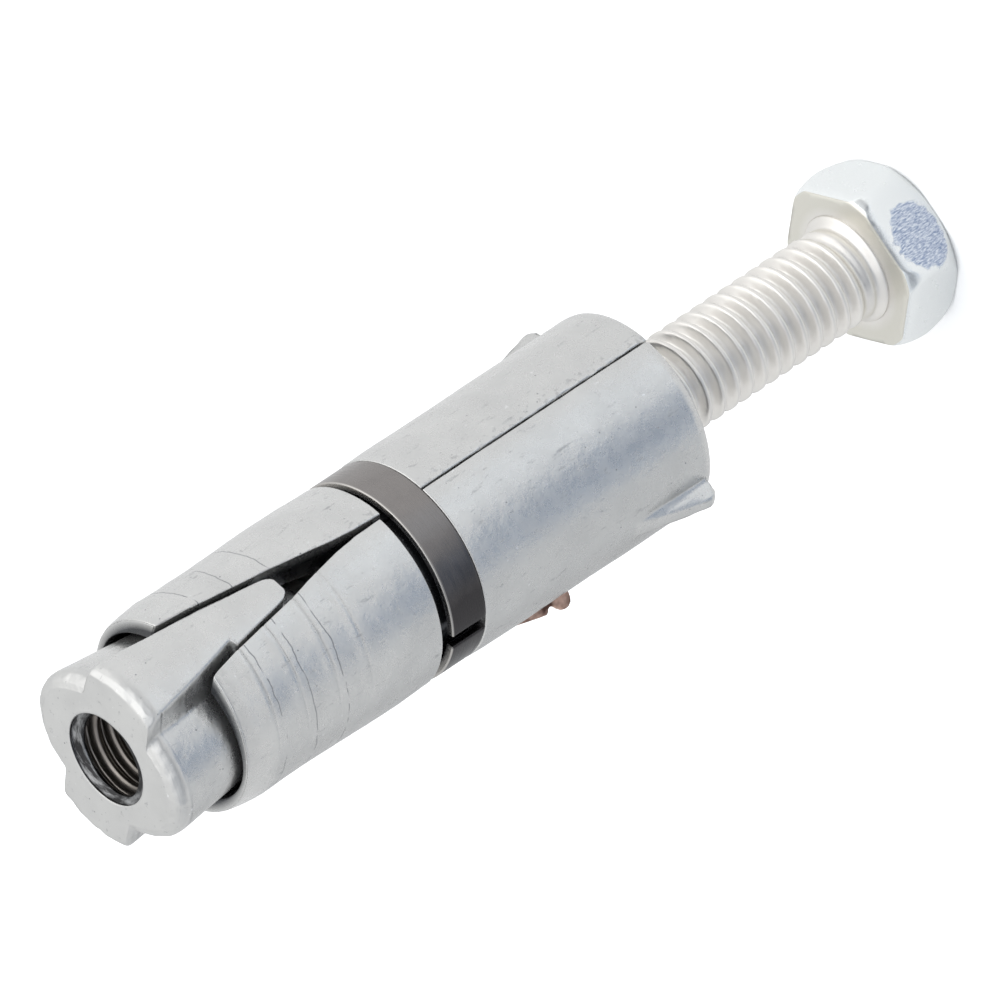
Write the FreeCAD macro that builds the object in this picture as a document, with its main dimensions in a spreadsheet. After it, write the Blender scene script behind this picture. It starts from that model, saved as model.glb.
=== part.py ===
"""Expansion shield: a split cast sleeve with a retaining band, a keyed cone nut and a hex bolt.

Lengths are in millimetres. The anchor stands upright on the bolt's head. The bolt's axis is
Z, and the origin is on it, in the plane of the sleeve's rear end, which is the mouth of the
drilled hole. The nut is at the top. Each body is drawn lying, with its own X along the axis
toward the head and the split between the halves in its own plane Y = 0, and is then stood
up, so that its X points down and its Z points along +X.
"""
import FreeCAD, Part
import math
import os

import Sketcher

V = FreeCAD.Vector

# Each independent size, with what it measures
SIZES = [
    ("sleeve_length", 46.66, "rear end of the halves to their front plane"),
    ("rear_radius", 8.30, "outside of the rear section"),
    ("front_drop", 0.04, "how much less the front section's radius is"),
    ("rim_drop", 0.36, "the front section's radius less the rim's at the front plane"),
    ("rim_taper", 2.60, "length over which the rim narrows"),
    ("rear_rounding", 0.80, "rounding of the rear outer edge"),
    ("groove_rear", 22.97, "rear end to the band groove's rear wall"),
    ("groove_width", 4.35, "band groove, along the axis"),
    ("bolt_passage", 4.20, "radius of the hole behind the cone's seat"),
    ("seam_gap", 0.06, "space between the halves at the seam"),
    ("slot_root_half", 0.15, "half width of the slot at the groove"),
    ("slot_bend_ahead", 4.70, "groove to the slot's first bend"),
    ("slot_bend_half", 0.48, "half width there"),
    ("slot_wide_ahead", 10.00, "groove to the slot's second bend"),
    ("slot_wide_half", 1.48, "half width there"),
    ("slot_mouth_half", 2.90, "half width at the front plane"),
    ("slot_corner", 0.45, "rounding of the slot's corners at the front plane"),
    ("seat_depth", 17.40, "front plane to the end of the cone's seat"),
    ("seat_wide_end", 5.50, "half width of the seat's end, across the split"),
    ("seat_narrow_end", 4.95, "half width of the seat's end, along the split"),
    ("cone_gap", 0.36, "space between the cone and the seat's mouth, across the split"),
    ("cone_gap_keys", 0.75, "the same beside the keys"),
    ("fin_start", 8.00, "rear end to the start of the fin's slope"),
    ("fin_stop", 0.80, "rear end to the back of the fin"),
    ("fin_height", 1.55, "rear section's outside to the fin's crest at the back"),
    ("fin_root_half", 0.925, "half thickness of the fin at its root"),
    ("fin_crest_half", 0.65, "half thickness at its crest"),
    ("fin_rounding", 0.80, "bevel of the crest's rear corner"),
    ("gate_start", 12.30, "rear end to the broken casting gate"),
    ("gate_length", 5.60, "the gate, along the axis"),
    ("gate_height", 1.12, "rear section's outside to the top of the gate's knob"),
    ("gate_thickness", 0.70, "the gate, round the sleeve"),
    ("gate_angle", 127.2, "the gate, in degrees from its own +Z toward -Y"),
    ("band_width", 3.34, "retaining band, along the axis"),
    ("band_sink", 0.10, "rear section's outside to the band's outside"),
    ("band_thickness", 0.64, "the band's strip, toward the axis"),
    ("band_play", 0.46, "the band's inside to the groove's floor"),
    ("band_opening", 1.10, "gap between the band's ends"),
    ("band_opening_angle", 83.5, "that gap, in degrees from its own +Z toward -Y"),
    ("band_edge", 0.12, "bevel of the band's outer edges"),
    ("nut_stand_out", 6.54, "nut's front end to the sleeve's front plane"),
    ("nut_length", 18.70, "cone nut, along the axis"),
    ("nut_sink", 0.55, "rear section's outside to the cone's front edge, across the split"),
    ("nut_narrow_front", 6.00, "half width of the cone's front, along the split"),
    ("nut_wide_rear", 5.60, "half width of the cone's rear, across the split"),
    ("nut_narrow_rear", 4.75, "half width of the cone's rear, along the split"),
    ("nut_front_rounding", 1.30, "rounding of the cone's front edge"),
    ("nut_rear_bevel", 0.35, "bevel of the cone's rear edge"),
    ("nut_mouth_bevel", 0.25, "bevel at the threaded hole's mouth"),
    ("key_sink", 0.26, "front section's outside to the keys' top"),
    ("key_front_half", 3.35, "half width of a key at the front"),
    ("key_step", 9.80, "nut's front end to the step in the key"),
    ("key_length", 16.00, "nut's front end to the tip of the key"),
    ("key_side_gap", 0.28, "space between a key's tongue and the slot"),
    ("key_tip_bevel", 0.60, "bevel of the tongue's tip corners"),
    ("key_front_bevel", 0.95, "rounding of a key's front top edge, along the axis"),
    ("key_front_drop", 0.55, "the same, toward the axis"),
    ("thread_radius", 3.88, "crest radius of the bolt's thread"),
    ("thread_clearance", 0.06, "running clearance between bolt and nut"),
    ("thread_pitch", 1.4111, "crest to crest, 18 to the inch"),
    ("thread_depth", 0.75, "crest to root"),
    ("thread_runout", 1.30, "plain length under the head"),
    ("bolt_length", 63.50, "bearing face to the tip"),
    ("tip_bevel", 0.70, "bevel of the tip"),
    ("head_stand_off", 21.90, "sleeve's rear end to the bearing face"),
    ("head_height", 5.16, "hex head, along the axis"),
    ("head_flats", 12.50, "hex head, across flats"),
    ("head_foot_radius", 6.60, "head's turned outline at the bearing face"),
    ("head_belly_radius", 7.13, "the same at its widest"),
    ("head_belly_height", 2.30, "bearing face to the widest place"),
    ("head_crown_radius", 6.20, "radius of the head's top face"),
    ("head_turn", 2.8, "hex corner, in degrees from its own +Z toward +Y"),
    ("neck_radius", 4.55, "foot of the round under the head"),
    ("neck_length", 0.60, "that round, along the axis"),
]

# Radii that follow from those sizes
FRONT_RADIUS = "(Sizes.rear_radius - Sizes.front_drop)"
BAND_OUTSIDE = "(Sizes.rear_radius - Sizes.band_sink)"
BAND_INSIDE = f"({BAND_OUTSIDE} - Sizes.band_thickness)"
GROOVE_FLOOR = f"({BAND_INSIDE} - Sizes.band_play)"
FIN_CREST = "(Sizes.rear_radius + Sizes.fin_height)"
GATE_CREST = "(Sizes.rear_radius + Sizes.gate_height)"
NUT_WIDE_FRONT = "(Sizes.rear_radius - Sizes.nut_sink)"
KEY_TOP = f"({FRONT_RADIUS} - Sizes.key_sink)"
GROOVE_FRONT = "(Sizes.groove_rear + Sizes.groove_width)"


def fill_sheet(doc):
    """Write the sizes as plain numbers, each cell with its name as alias."""
    sheet = doc.addObject("Spreadsheet::Sheet", "Sizes")
    for row, (alias, value, meaning) in enumerate(SIZES, 1):
        sheet.set(f"A{row}", meaning)
        sheet.set(f"B{row}", str(value))
        sheet.setAlias(f"B{row}", alias)
    doc.recompute()
    return sheet


def new_body(doc, name, along=None):
    """Add a body named after its node, stood up and moved along its own X by the expression."""
    body = doc.addObject("PartDesign::Body", name)
    body.Label = name
    body.Placement = FreeCAD.Placement(V(0, 0, 0), FreeCAD.Rotation(V(0, 1, 0), 90.0))
    if along:
        body.setExpression(".Placement.Base.z", f"-({along})")
    return body


def new_sketch(body, name, role, offset=None, turn=None):
    """Attach a sketch to an origin plane, set off along its normal or turned about the axis."""
    plane = next(item for item in body.Origin.OriginFeatures if item.Role == role)
    sketch = body.newObject("Sketcher::SketchObject", name)
    sketch.AttachmentSupport = [(plane, "")]
    sketch.MapMode = "FlatFace"
    if offset:
        sketch.setExpression(".AttachmentOffset.Base.z", offset)
    if turn:
        sketch.AttachmentOffset = FreeCAD.Placement(V(0, 0, 0), FreeCAD.Rotation(V(1, 0, 0), 0.0))
        sketch.setExpression(".AttachmentOffset.Rotation.Angle", turn)
    return sketch


def outline(sketch, corners):
    """Draw a closed outline whose corners are pairs of expressions."""
    count = len(corners)
    start = []
    for index in range(count):
        angle = 2 * math.pi * index / count
        start.append(V(math.cos(angle), math.sin(angle), 0))
    for index in range(count):
        sketch.addGeometry(Part.LineSegment(start[index], start[(index + 1) % count]), False)
    for index in range(count):
        joint = Sketcher.Constraint("Coincident", index, 2, (index + 1) % count, 1)
        sketch.addConstraint(joint)
    for index, (across, up) in enumerate(corners):
        for kind, value, text in (("DistanceX", start[index].x, across), ("DistanceY", start[index].y, up)):
            number = sketch.addConstraint(Sketcher.Constraint(kind, -1, 1, index, 1, value))
            sketch.renameConstraint(number, f"{kind}{index}")
            sketch.setExpression(f"Constraints.{kind}{index}", text)
    return sketch


def circle(sketch, radius, start):
    """Draw a circle about the axis, first with the start radius and then as the expression says."""
    index = sketch.addGeometry(Part.Circle(V(0, 0, 0), V(0, 0, 1), start), False)
    sketch.addConstraint(Sketcher.Constraint("Coincident", index, 3, -1, 1))
    number = sketch.addConstraint(Sketcher.Constraint("Radius", index, start))
    sketch.renameConstraint(number, f"Radius{index}")
    sketch.setExpression(f"Constraints.Radius{index}", radius)
    return sketch


def ellipse(sketch, wide, narrow, start=1):
    """Draw an ellipse about the axis from its +Y or -Y end; its half widths are expressions."""
    oval = Part.Ellipse(V(7.0 * start, 0, 0), V(0, 5.0 * start, 0), V(0, 0, 0))
    index = sketch.addGeometry(oval, False)
    sketch.exposeInternalGeometry(index)
    sketch.addConstraint(Sketcher.Constraint("Coincident", index, 3, -1, 1))
    sketch.addConstraint(Sketcher.Constraint("Horizontal", index + 1))
    for step, name, value, text in ((1, "wide", 14.0, wide), (2, "narrow", 10.0, narrow)):
        number = sketch.addConstraint(Sketcher.Constraint("Distance", index + step, value))
        sketch.renameConstraint(number, name)
        sketch.setExpression(f"Constraints.{name}", f"2 * ({text})")
    return sketch


def pad(body, sketch, length, name, kind="Pad", both=False):
    """Add or cut the sketch's prism; the length is an expression."""
    feature = body.newObject(f"PartDesign::{kind}", name)
    feature.Profile = sketch
    feature.setExpression("Length", length)
    if both:
        feature.SideType = "Symmetric"
    body.Document.recompute()
    return feature


def turn(body, sketch, name, kind="Revolution", angle=360.0, reverse=False):
    """Add or cut the sketch's solid of revolution about X."""
    feature = body.newObject(f"PartDesign::{kind}", name)
    feature.Profile = sketch
    feature.ReferenceAxis = (sketch, ["H_Axis"])
    feature.Angle = angle
    feature.Reversed = reverse
    body.Document.recompute()
    return feature


def loft(body, sections, name, kind="AdditiveLoft"):
    """Add or cut the straight loft through the sketches."""
    feature = body.newObject(f"PartDesign::{kind}", name)
    feature.Profile = sections[0]
    feature.Sections = sections[1:]
    feature.Ruled = True
    body.Document.recompute()
    return feature


def repeat(body, feature, sketch, pitch, count, name):
    """Repeat a feature along the sketch's X; pitch and count are expressions."""
    pattern = body.newObject("PartDesign::LinearPattern", name)
    pattern.Originals = [feature]
    pattern.Direction = (sketch, ["H_Axis"])
    pattern.setExpression("Length", f"({count} - 1) * {pitch}")
    pattern.setExpression("Occurrences", count)
    body.Tip = pattern
    body.Document.recompute()
    return pattern


def dress(body, base, name, kind, size, test):
    """Round or bevel the edges of the last feature that pass the test."""
    names = [f"Edge{i}" for i, edge in enumerate(base.Shape.Edges, 1) if test(edge)]
    if not names:
        raise RuntimeError(f"{name} found no edge")
    feature = body.newObject(f"PartDesign::{kind}", name)
    feature.Base = (base, names)
    feature.setExpression("Radius" if kind == "Fillet" else "Size", size)
    body.Document.recompute()
    return feature


def at_x(edge, x):
    """Tell whether the whole edge lies in the plane X = x."""
    box = edge.BoundBox
    return abs(box.XMin - x) < 1e-4 and abs(box.XMax - x) < 1e-4


def make_half(doc, name, side, gate):
    """Build one sleeve half; side is -1 at -Y and 1 at +Y."""
    body = new_body(doc, name)

    # Wall, half a turn about the axis
    wall = new_sketch(body, f"{name}_wall_outline", "XZ_Plane")
    outline(wall, [
        ("-Sizes.sleeve_length", "Sizes.bolt_passage"),
        ("-Sizes.sleeve_length", f"{FRONT_RADIUS} - Sizes.rim_drop"),
        ("-Sizes.sleeve_length + Sizes.rim_taper", FRONT_RADIUS),
        (f"-{GROOVE_FRONT}", FRONT_RADIUS),
        (f"-{GROOVE_FRONT}", GROOVE_FLOOR),
        ("-Sizes.groove_rear", GROOVE_FLOOR),
        ("-Sizes.groove_rear", "Sizes.rear_radius"),
        ("-Sizes.rear_rounding", "Sizes.rear_radius"),
        ("-0.3 * Sizes.rear_rounding", "Sizes.rear_radius - 0.12 * Sizes.rear_rounding"),
        ("0", "Sizes.rear_radius - 0.42 * Sizes.rear_rounding"),
        ("0", "Sizes.bolt_passage"),
    ])
    shell = turn(body, wall, f"{name}_wall", angle=180.0, reverse=side > 0)

    # Fin along the back of the half, thinner at its crest and sloped at the front
    fin = new_sketch(body, f"{name}_fin_section", "YZ_Plane", "-Sizes.fin_start")
    root = f"{side} * (Sizes.rear_radius - 0.6)"
    crest = f"{side} * {FIN_CREST}"
    outline(fin, [
        (root, "-Sizes.fin_root_half"),
        (crest, "-Sizes.fin_crest_half"),
        (crest, "Sizes.fin_crest_half"),
        (root, "Sizes.fin_root_half"),
    ])
    pad(body, fin, "Sizes.fin_start - Sizes.fin_stop", f"{name}_fin")
    slope = new_sketch(body, f"{name}_fin_slope_outline", "XY_Plane")
    outline(slope, [
        ("-Sizes.fin_start - 0.5", f"{side} * Sizes.rear_radius"),
        ("-Sizes.fin_start", f"{side} * Sizes.rear_radius"),
        ("-Sizes.fin_stop - Sizes.fin_rounding", crest),
        ("-Sizes.fin_stop", f"{side} * ({FIN_CREST} - Sizes.fin_rounding)"),
        ("0.5", f"{side} * ({FIN_CREST} - Sizes.fin_rounding)"),
        ("0.5", f"{side} * ({FIN_CREST} + 2)"),
        ("-Sizes.fin_start - 0.5", f"{side} * ({FIN_CREST} + 2)"),
    ])
    pad(body, slope, "4 * Sizes.fin_root_half", f"{name}_fin_slope", "Pocket", both=True)

    # Stub of the casting gate, broken off
    if gate:
        stub = new_sketch(body, f"{name}_gate_outline", "XY_Plane", turn="90 + Sizes.gate_angle")
        back = "-Sizes.gate_start"
        step = "Sizes.gate_length"
        low = "Sizes.rear_radius - 0.3"
        rise = "Sizes.gate_height"
        outline(stub, [
            (f"{back} - {step}", low),
            (f"{back} - {step}", f"Sizes.rear_radius + 0.04 * {rise}"),
            (f"{back} - 0.42 * {step}", f"Sizes.rear_radius + 0.66 * {rise}"),
            (f"{back} - 0.35 * {step}", f"Sizes.rear_radius + 0.40 * {rise}"),
            (f"{back} - 0.24 * {step}", f"Sizes.rear_radius + 0.88 * {rise}"),
            (f"{back} - 0.15 * {step}", GATE_CREST),
            (f"{back} - 0.03 * {step}", f"Sizes.rear_radius + 0.78 * {rise}"),
            (back, f"Sizes.rear_radius + 0.35 * {rise}"),
            (back, low),
        ])
        pad(body, stub, "Sizes.gate_thickness", f"{name}_gate", both=True)

    # Seat of the cone nut, an oval hole that narrows inward
    mouth = new_sketch(body, f"{name}_seat_mouth", "YZ_Plane", "-Sizes.sleeve_length")
    share = "Sizes.nut_stand_out / Sizes.nut_length"
    wide = f"{NUT_WIDE_FRONT} - ({NUT_WIDE_FRONT} - Sizes.nut_wide_rear) * {share}"
    narrow = f"Sizes.nut_narrow_front - (Sizes.nut_narrow_front - Sizes.nut_narrow_rear) * {share}"
    ellipse(mouth, f"{wide} + Sizes.cone_gap", f"{narrow} + Sizes.cone_gap_keys", -side)
    end = new_sketch(body, f"{name}_seat_end", "YZ_Plane", "Sizes.seat_depth - Sizes.sleeve_length")
    ellipse(end, "Sizes.seat_wide_end", "Sizes.seat_narrow_end", -side)
    loft(body, [mouth, end], f"{name}_seat", "SubtractiveLoft")

    # Half of the seam's gap, and of the slots that open toward the front
    slot = new_sketch(body, f"{name}_slot_outline", "XY_Plane")
    half_gap = f"{side} * Sizes.seam_gap / 2"
    outline(slot, [
        ("1", half_gap),
        (f"-{GROOVE_FRONT} + 0.4", half_gap),
        (f"-{GROOVE_FRONT}", f"{side} * Sizes.slot_root_half"),
        (f"-{GROOVE_FRONT} - Sizes.slot_bend_ahead", f"{side} * Sizes.slot_bend_half"),
        (f"-{GROOVE_FRONT} - Sizes.slot_wide_ahead", f"{side} * Sizes.slot_wide_half"),
        ("Sizes.slot_corner - Sizes.sleeve_length", f"{side} * Sizes.slot_mouth_half"),
        ("-Sizes.sleeve_length", f"{side} * (Sizes.slot_mouth_half + Sizes.slot_corner)"),
        ("-Sizes.sleeve_length - 1", f"{side} * (Sizes.slot_mouth_half + Sizes.slot_corner)"),
        ("-Sizes.sleeve_length - 1", f"{-side}"),
        ("1", f"{-side}"),
    ])
    pad(body, slot, "4 * Sizes.rear_radius", f"{name}_slot", "Pocket", both=True)
    return body


def make_band(doc):
    """Build the open ring that holds the halves together."""
    body = new_body(doc, "retaining_band", "-Sizes.groove_rear - Sizes.band_width")
    ring = new_sketch(body, "band_section", "YZ_Plane")
    circle(ring, BAND_OUTSIDE, 8.0)
    circle(ring, BAND_INSIDE, 7.0)
    whole = pad(body, ring, "Sizes.band_width", "band_ring")
    widest = max(edge.BoundBox.YMax for edge in whole.Shape.Edges)
    dress(body, whole, "band_edges", "Chamfer", "Sizes.band_edge",
          lambda edge: edge.BoundBox.XLength < 1e-4 and edge.BoundBox.YMax > widest - 1e-3)
    opening = new_sketch(body, "band_opening_outline", "XY_Plane", turn="90 + Sizes.band_opening_angle")
    outline(opening, [
        ("-1", f"{BAND_INSIDE} - 1"),
        ("Sizes.band_width + 1", f"{BAND_INSIDE} - 1"),
        ("Sizes.band_width + 1", f"{BAND_OUTSIDE} + 1"),
        ("-1", f"{BAND_OUTSIDE} + 1"),
    ])
    pad(body, opening, "Sizes.band_opening", "band_opening_cut", "Pocket", both=True)
    return body


def make_nut(doc):
    """Build the oval cone nut with a key on top and one below."""
    body = new_body(doc, "cone_nut", "-Sizes.sleeve_length - Sizes.nut_stand_out")

    # Cone, wider across the split, with its front edge rounded in steps and its rear edge bevelled
    stations = []
    for along, inward in ((0.0, 1.0), (0.08, 0.61), (0.29, 0.29), (0.62, 0.08), (1.0, 0.0)):
        stations.append((f"{along} * Sizes.nut_front_rounding", f"{inward} * Sizes.nut_front_rounding"))
    stations.append(("Sizes.nut_length - Sizes.nut_rear_bevel", "0"))
    stations.append(("Sizes.nut_length", "Sizes.nut_rear_bevel"))
    sections = []
    for number, (along, inward) in enumerate(stations):
        share = f"({along}) / Sizes.nut_length"
        section = new_sketch(body, f"cone_section_{number}", "YZ_Plane", along)
        wide = f"{NUT_WIDE_FRONT} - ({NUT_WIDE_FRONT} - Sizes.nut_wide_rear) * {share}"
        narrow = f"Sizes.nut_narrow_front - (Sizes.nut_narrow_front - Sizes.nut_narrow_rear) * {share}"
        ellipse(section, f"{wide} - {inward}", f"{narrow} - {inward}")
        sections.append(section)
    loft(body, sections, "cone")

    # Keys, parallel to the slots' sides along the tongue
    ahead = f"(Sizes.sleeve_length + Sizes.nut_stand_out - {GROOVE_FRONT})"
    slant = "((Sizes.slot_mouth_half - Sizes.slot_wide_half)"
    slant += f" / (Sizes.sleeve_length - {GROOVE_FRONT} - Sizes.slot_wide_ahead))"
    step_half = f"(Sizes.slot_wide_half + ({ahead} - Sizes.key_step - Sizes.slot_wide_ahead) * {slant}"
    step_half += " - Sizes.key_side_gap)"
    tip_half = f"(Sizes.slot_wide_half + ({ahead} - Sizes.key_length - Sizes.slot_wide_ahead) * {slant}"
    tip_half += " - Sizes.key_side_gap)"
    plan = new_sketch(body, "key_outline", "XY_Plane")
    outline(plan, [
        ("0", "-Sizes.key_front_half"),
        ("Sizes.key_step", f"-{step_half}"),
        ("Sizes.key_length - Sizes.key_tip_bevel", f"-{tip_half}"),
        ("Sizes.key_length", f"-{tip_half} + Sizes.key_tip_bevel"),
        ("Sizes.key_length", f"{tip_half} - Sizes.key_tip_bevel"),
        ("Sizes.key_length - Sizes.key_tip_bevel", tip_half),
        ("Sizes.key_step", step_half),
        ("0", "Sizes.key_front_half"),
    ])
    pad(body, plan, f"2 * {KEY_TOP} + 2", "keys", both=True)

    # Tops of the keys, turned to the sleeve's round with a rounded front edge
    trim = new_sketch(body, "key_top_outline", "XZ_Plane")
    outline(trim, [
        ("-1", f"{KEY_TOP} - Sizes.key_front_drop"),
        ("0", f"{KEY_TOP} - Sizes.key_front_drop"),
        ("0.3 * Sizes.key_front_bevel", f"{KEY_TOP} - 0.4 * Sizes.key_front_drop"),
        ("Sizes.key_front_bevel", KEY_TOP),
        ("Sizes.nut_length", KEY_TOP),
        ("Sizes.nut_length", f"{KEY_TOP} + 3"),
        ("-1", f"{KEY_TOP} + 3"),
    ])
    turn(body, trim, "key_tops", "Groove")

    # Threaded hole, as wide as the crests of the bolt with its running clearance
    bore = new_sketch(body, "nut_bore_outline", "XZ_Plane")
    outline(bore, [
        ("-1", "0"),
        ("Sizes.nut_length + 1", "0"),
        ("Sizes.nut_length + 1", "Sizes.thread_radius + Sizes.thread_clearance"),
        ("Sizes.nut_mouth_bevel", "Sizes.thread_radius + Sizes.thread_clearance"),
        ("0", "Sizes.thread_radius + Sizes.thread_clearance + Sizes.nut_mouth_bevel"),
        ("-1", "Sizes.thread_radius + Sizes.thread_clearance + Sizes.nut_mouth_bevel"),
    ])
    turn(body, bore, "nut_bore", "Groove")
    return body


def make_bolt(doc):
    """Build the bolt: a shank as wide as its thread's crests, and a trimmed hex head."""
    body = new_body(doc, "hex_bolt", "Sizes.head_stand_off")

    # Head, a hexagon of which one corner is turned a little from its own +Z
    hexagon = new_sketch(body, "head_hexagon", "YZ_Plane")
    corners = []
    for index in range(6):
        angle = f"(90 - Sizes.head_turn + {60 * index})"
        reach = "Sizes.head_flats / 2 / cos(30)"
        corners.append((f"{reach} * cos({angle})", f"{reach} * sin({angle})"))
    outline(hexagon, corners)
    pad(body, hexagon, "Sizes.head_height", "head")

    # Turned outline that trims the hexagon's corners
    barrel = new_sketch(body, "head_outline", "XZ_Plane")
    belly = "(Sizes.head_belly_radius - Sizes.head_foot_radius)"
    crown = "(Sizes.head_belly_radius - Sizes.head_crown_radius)"
    low = "Sizes.head_belly_height"
    high = "(Sizes.head_height - Sizes.head_belly_height)"
    profile = [("-1", "Sizes.head_foot_radius"), ("0", "Sizes.head_foot_radius")]
    for share in (0.15, 0.35, 0.65, 1.0):
        rise = round(1 - (1 - share) ** 2, 4)
        profile.append((f"{share} * {low}", f"Sizes.head_foot_radius + {rise} * {belly}"))
    for share in (0.3, 0.6, 0.82, 0.93, 1.0):
        fall = round(share ** 2.4, 4)
        profile.append((f"{low} + {share} * {high}", f"Sizes.head_belly_radius - {fall} * {crown}"))
    profile.append(("Sizes.head_height + 1", "Sizes.head_crown_radius"))
    profile.append(("Sizes.head_height + 1", "Sizes.head_flats"))
    profile.append(("-1", "Sizes.head_flats"))
    outline(barrel, profile)
    turn(body, barrel, "head_corners", "Groove")

    # Shank with a round under the head and a bevelled tip
    shank = new_sketch(body, "shank_outline", "XZ_Plane")
    outline(shank, [
        ("-Sizes.bolt_length", "0"),
        ("-Sizes.bolt_length", "Sizes.thread_radius - Sizes.tip_bevel"),
        ("-Sizes.bolt_length + Sizes.tip_bevel", "Sizes.thread_radius"),
        ("-Sizes.neck_length", "Sizes.thread_radius"),
        ("-0.35 * Sizes.neck_length", "0.7 * Sizes.thread_radius + 0.3 * Sizes.neck_radius"),
        ("0", "Sizes.neck_radius"),
        ("0.5 * Sizes.head_height", "Sizes.neck_radius"),
        ("0.5 * Sizes.head_height", "0"),
    ])
    turn(body, shank, "shank")

    # Thread, as plain rings one pitch apart from the tip's bevel to the run-out under the head
    pitch = "Sizes.thread_pitch"
    crest = "Sizes.thread_radius"
    first = f"(Sizes.tip_bevel - Sizes.bolt_length + 0.5 * {pitch})"
    ring = new_sketch(body, "thread_ring_outline", "XZ_Plane")
    outline(ring, [
        (f"{first} + 0.42 * {pitch}", crest),
        (f"{first} + 0.42 * {pitch}", f"{crest} + 1"),
        (f"{first} - 0.42 * {pitch}", f"{crest} + 1"),
        (f"{first} - 0.42 * {pitch}", crest),
        (first, f"{crest} - Sizes.thread_depth"),
    ])
    groove = turn(body, ring, "thread_ring", "Groove")
    count = f"floor((Sizes.bolt_length - Sizes.tip_bevel - Sizes.thread_runout) / {pitch})"
    repeat(body, groove, ring, pitch, count, "thread_rings")
    return body


def main():
    """Build the sheet and the five pieces, check them and write one file for each."""
    os.makedirs("parts", exist_ok=True)
    doc = FreeCAD.newDocument("expansion_shield")
    fill_sheet(doc)
    bodies = [
        make_nut(doc),
        make_half(doc, "shield_half_near", -1, True),
        make_half(doc, "shield_half_far", 1, False),
        make_band(doc),
        make_bolt(doc),
    ]
    doc.recompute()
    for item in doc.Objects:
        if "Invalid" in item.State or "Error" in item.State:
            raise RuntimeError(f"{item.Name} is {item.State}")
    for body in bodies:
        shape = body.Shape
        if shape.isNull() or not shape.isValid() or len(shape.Solids) != 1:
            raise RuntimeError(f"{body.Label} is not one valid solid")
        shape.exportStep(f"parts/{body.Label}.step")
        box = shape.BoundBox
        print(f"{body.Label}: {shape.Volume:.1f} mm3, x {box.XMin:.2f} {box.XMax:.2f},",
              f"y {box.YMin:.2f} {box.YMax:.2f}, z {box.ZMin:.2f} {box.ZMax:.2f}")


main()
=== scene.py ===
"""Looks of the expansion shield: meshes with cast, rolled and plated surfaces on the CAD frame."""
import math

import bpy
import numpy as np
from mathutils import Matrix, Vector


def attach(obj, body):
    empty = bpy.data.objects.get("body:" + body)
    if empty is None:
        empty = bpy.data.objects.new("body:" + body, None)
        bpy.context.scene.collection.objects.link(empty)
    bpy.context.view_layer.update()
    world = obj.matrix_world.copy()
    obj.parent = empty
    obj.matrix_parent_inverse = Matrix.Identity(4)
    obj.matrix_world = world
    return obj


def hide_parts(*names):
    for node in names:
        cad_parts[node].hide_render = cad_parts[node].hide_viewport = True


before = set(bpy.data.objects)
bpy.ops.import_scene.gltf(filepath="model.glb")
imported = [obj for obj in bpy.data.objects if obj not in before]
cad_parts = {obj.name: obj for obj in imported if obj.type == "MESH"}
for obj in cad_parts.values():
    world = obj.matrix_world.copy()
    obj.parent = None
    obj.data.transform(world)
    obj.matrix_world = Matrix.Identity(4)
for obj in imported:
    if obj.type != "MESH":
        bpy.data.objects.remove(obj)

bl_info = {
    "name": "Expansion shield",
    "version": (1, 0, 0),
    "blender": (4, 5, 0),
    "location": "View3D > Sidebar > Anchor",
    "description": "Builds the look of a split zinc sleeve, its band, its cone nut and its bolt",
    "category": "Object",
}

# Where the photograph's camera stands, in degrees: round the anchor, up, and how far it is rolled
CAMERA_AZIMUTH = -27.2
CAMERA_HEIGHT = 31.0
CAMERA_ROLL = 123.5
# The camera's lens and sensor in millimetres, and the width of its view at the anchor in metres
LENS = 1500.0
SENSOR = 36.0
VIEW_WIDTH = 0.07246
# Height of the view's middle and of the floor under the bolt's head, in metres
VIEW_MIDDLE = 0.01354
FLOOR_LEVEL = -0.02706


class SleeveSizes(bpy.types.PropertyGroup):
    """Sizes of the sleeve's two halves."""

    length: bpy.props.FloatProperty(
        name="Length", description="Rear end to the front plane", default=0.04666, unit="LENGTH")
    rear_radius: bpy.props.FloatProperty(
        name="Rear radius", description="Outside of the rear section", default=0.0083, unit="LENGTH")
    floor_radius: bpy.props.FloatProperty(
        name="Groove floor", description="Radius of the groove's floor", default=0.0071, unit="LENGTH")
    groove_rear: bpy.props.FloatProperty(
        name="Groove rear wall", description="Rear end to the wall", default=0.02297, unit="LENGTH")
    passage: bpy.props.FloatProperty(
        name="Bolt passage", description="Radius of the hole behind the seat", default=0.0042, unit="LENGTH")
    edge: bpy.props.FloatProperty(
        name="Edge", description="Rounding of the casting's edges", default=0.00016, unit="LENGTH")
    roughness: bpy.props.FloatProperty(
        name="Unevenness", description="How far the surface wanders", default=0.000028, unit="LENGTH")


class NutSizes(bpy.types.PropertyGroup):
    """Sizes of the cone nut."""

    length: bpy.props.FloatProperty(
        name="Length", description="Front end to rear end", default=0.0187, unit="LENGTH")
    stand_out: bpy.props.FloatProperty(
        name="Stand-out", description="Nut's front to the sleeve's front", default=0.00654, unit="LENGTH")
    wide: bpy.props.FloatProperty(
        name="Half width", description="Across the split, at the front", default=0.00775, unit="LENGTH")
    narrow: bpy.props.FloatProperty(
        name="Half height", description="Along the split, at the front", default=0.006, unit="LENGTH")


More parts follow.
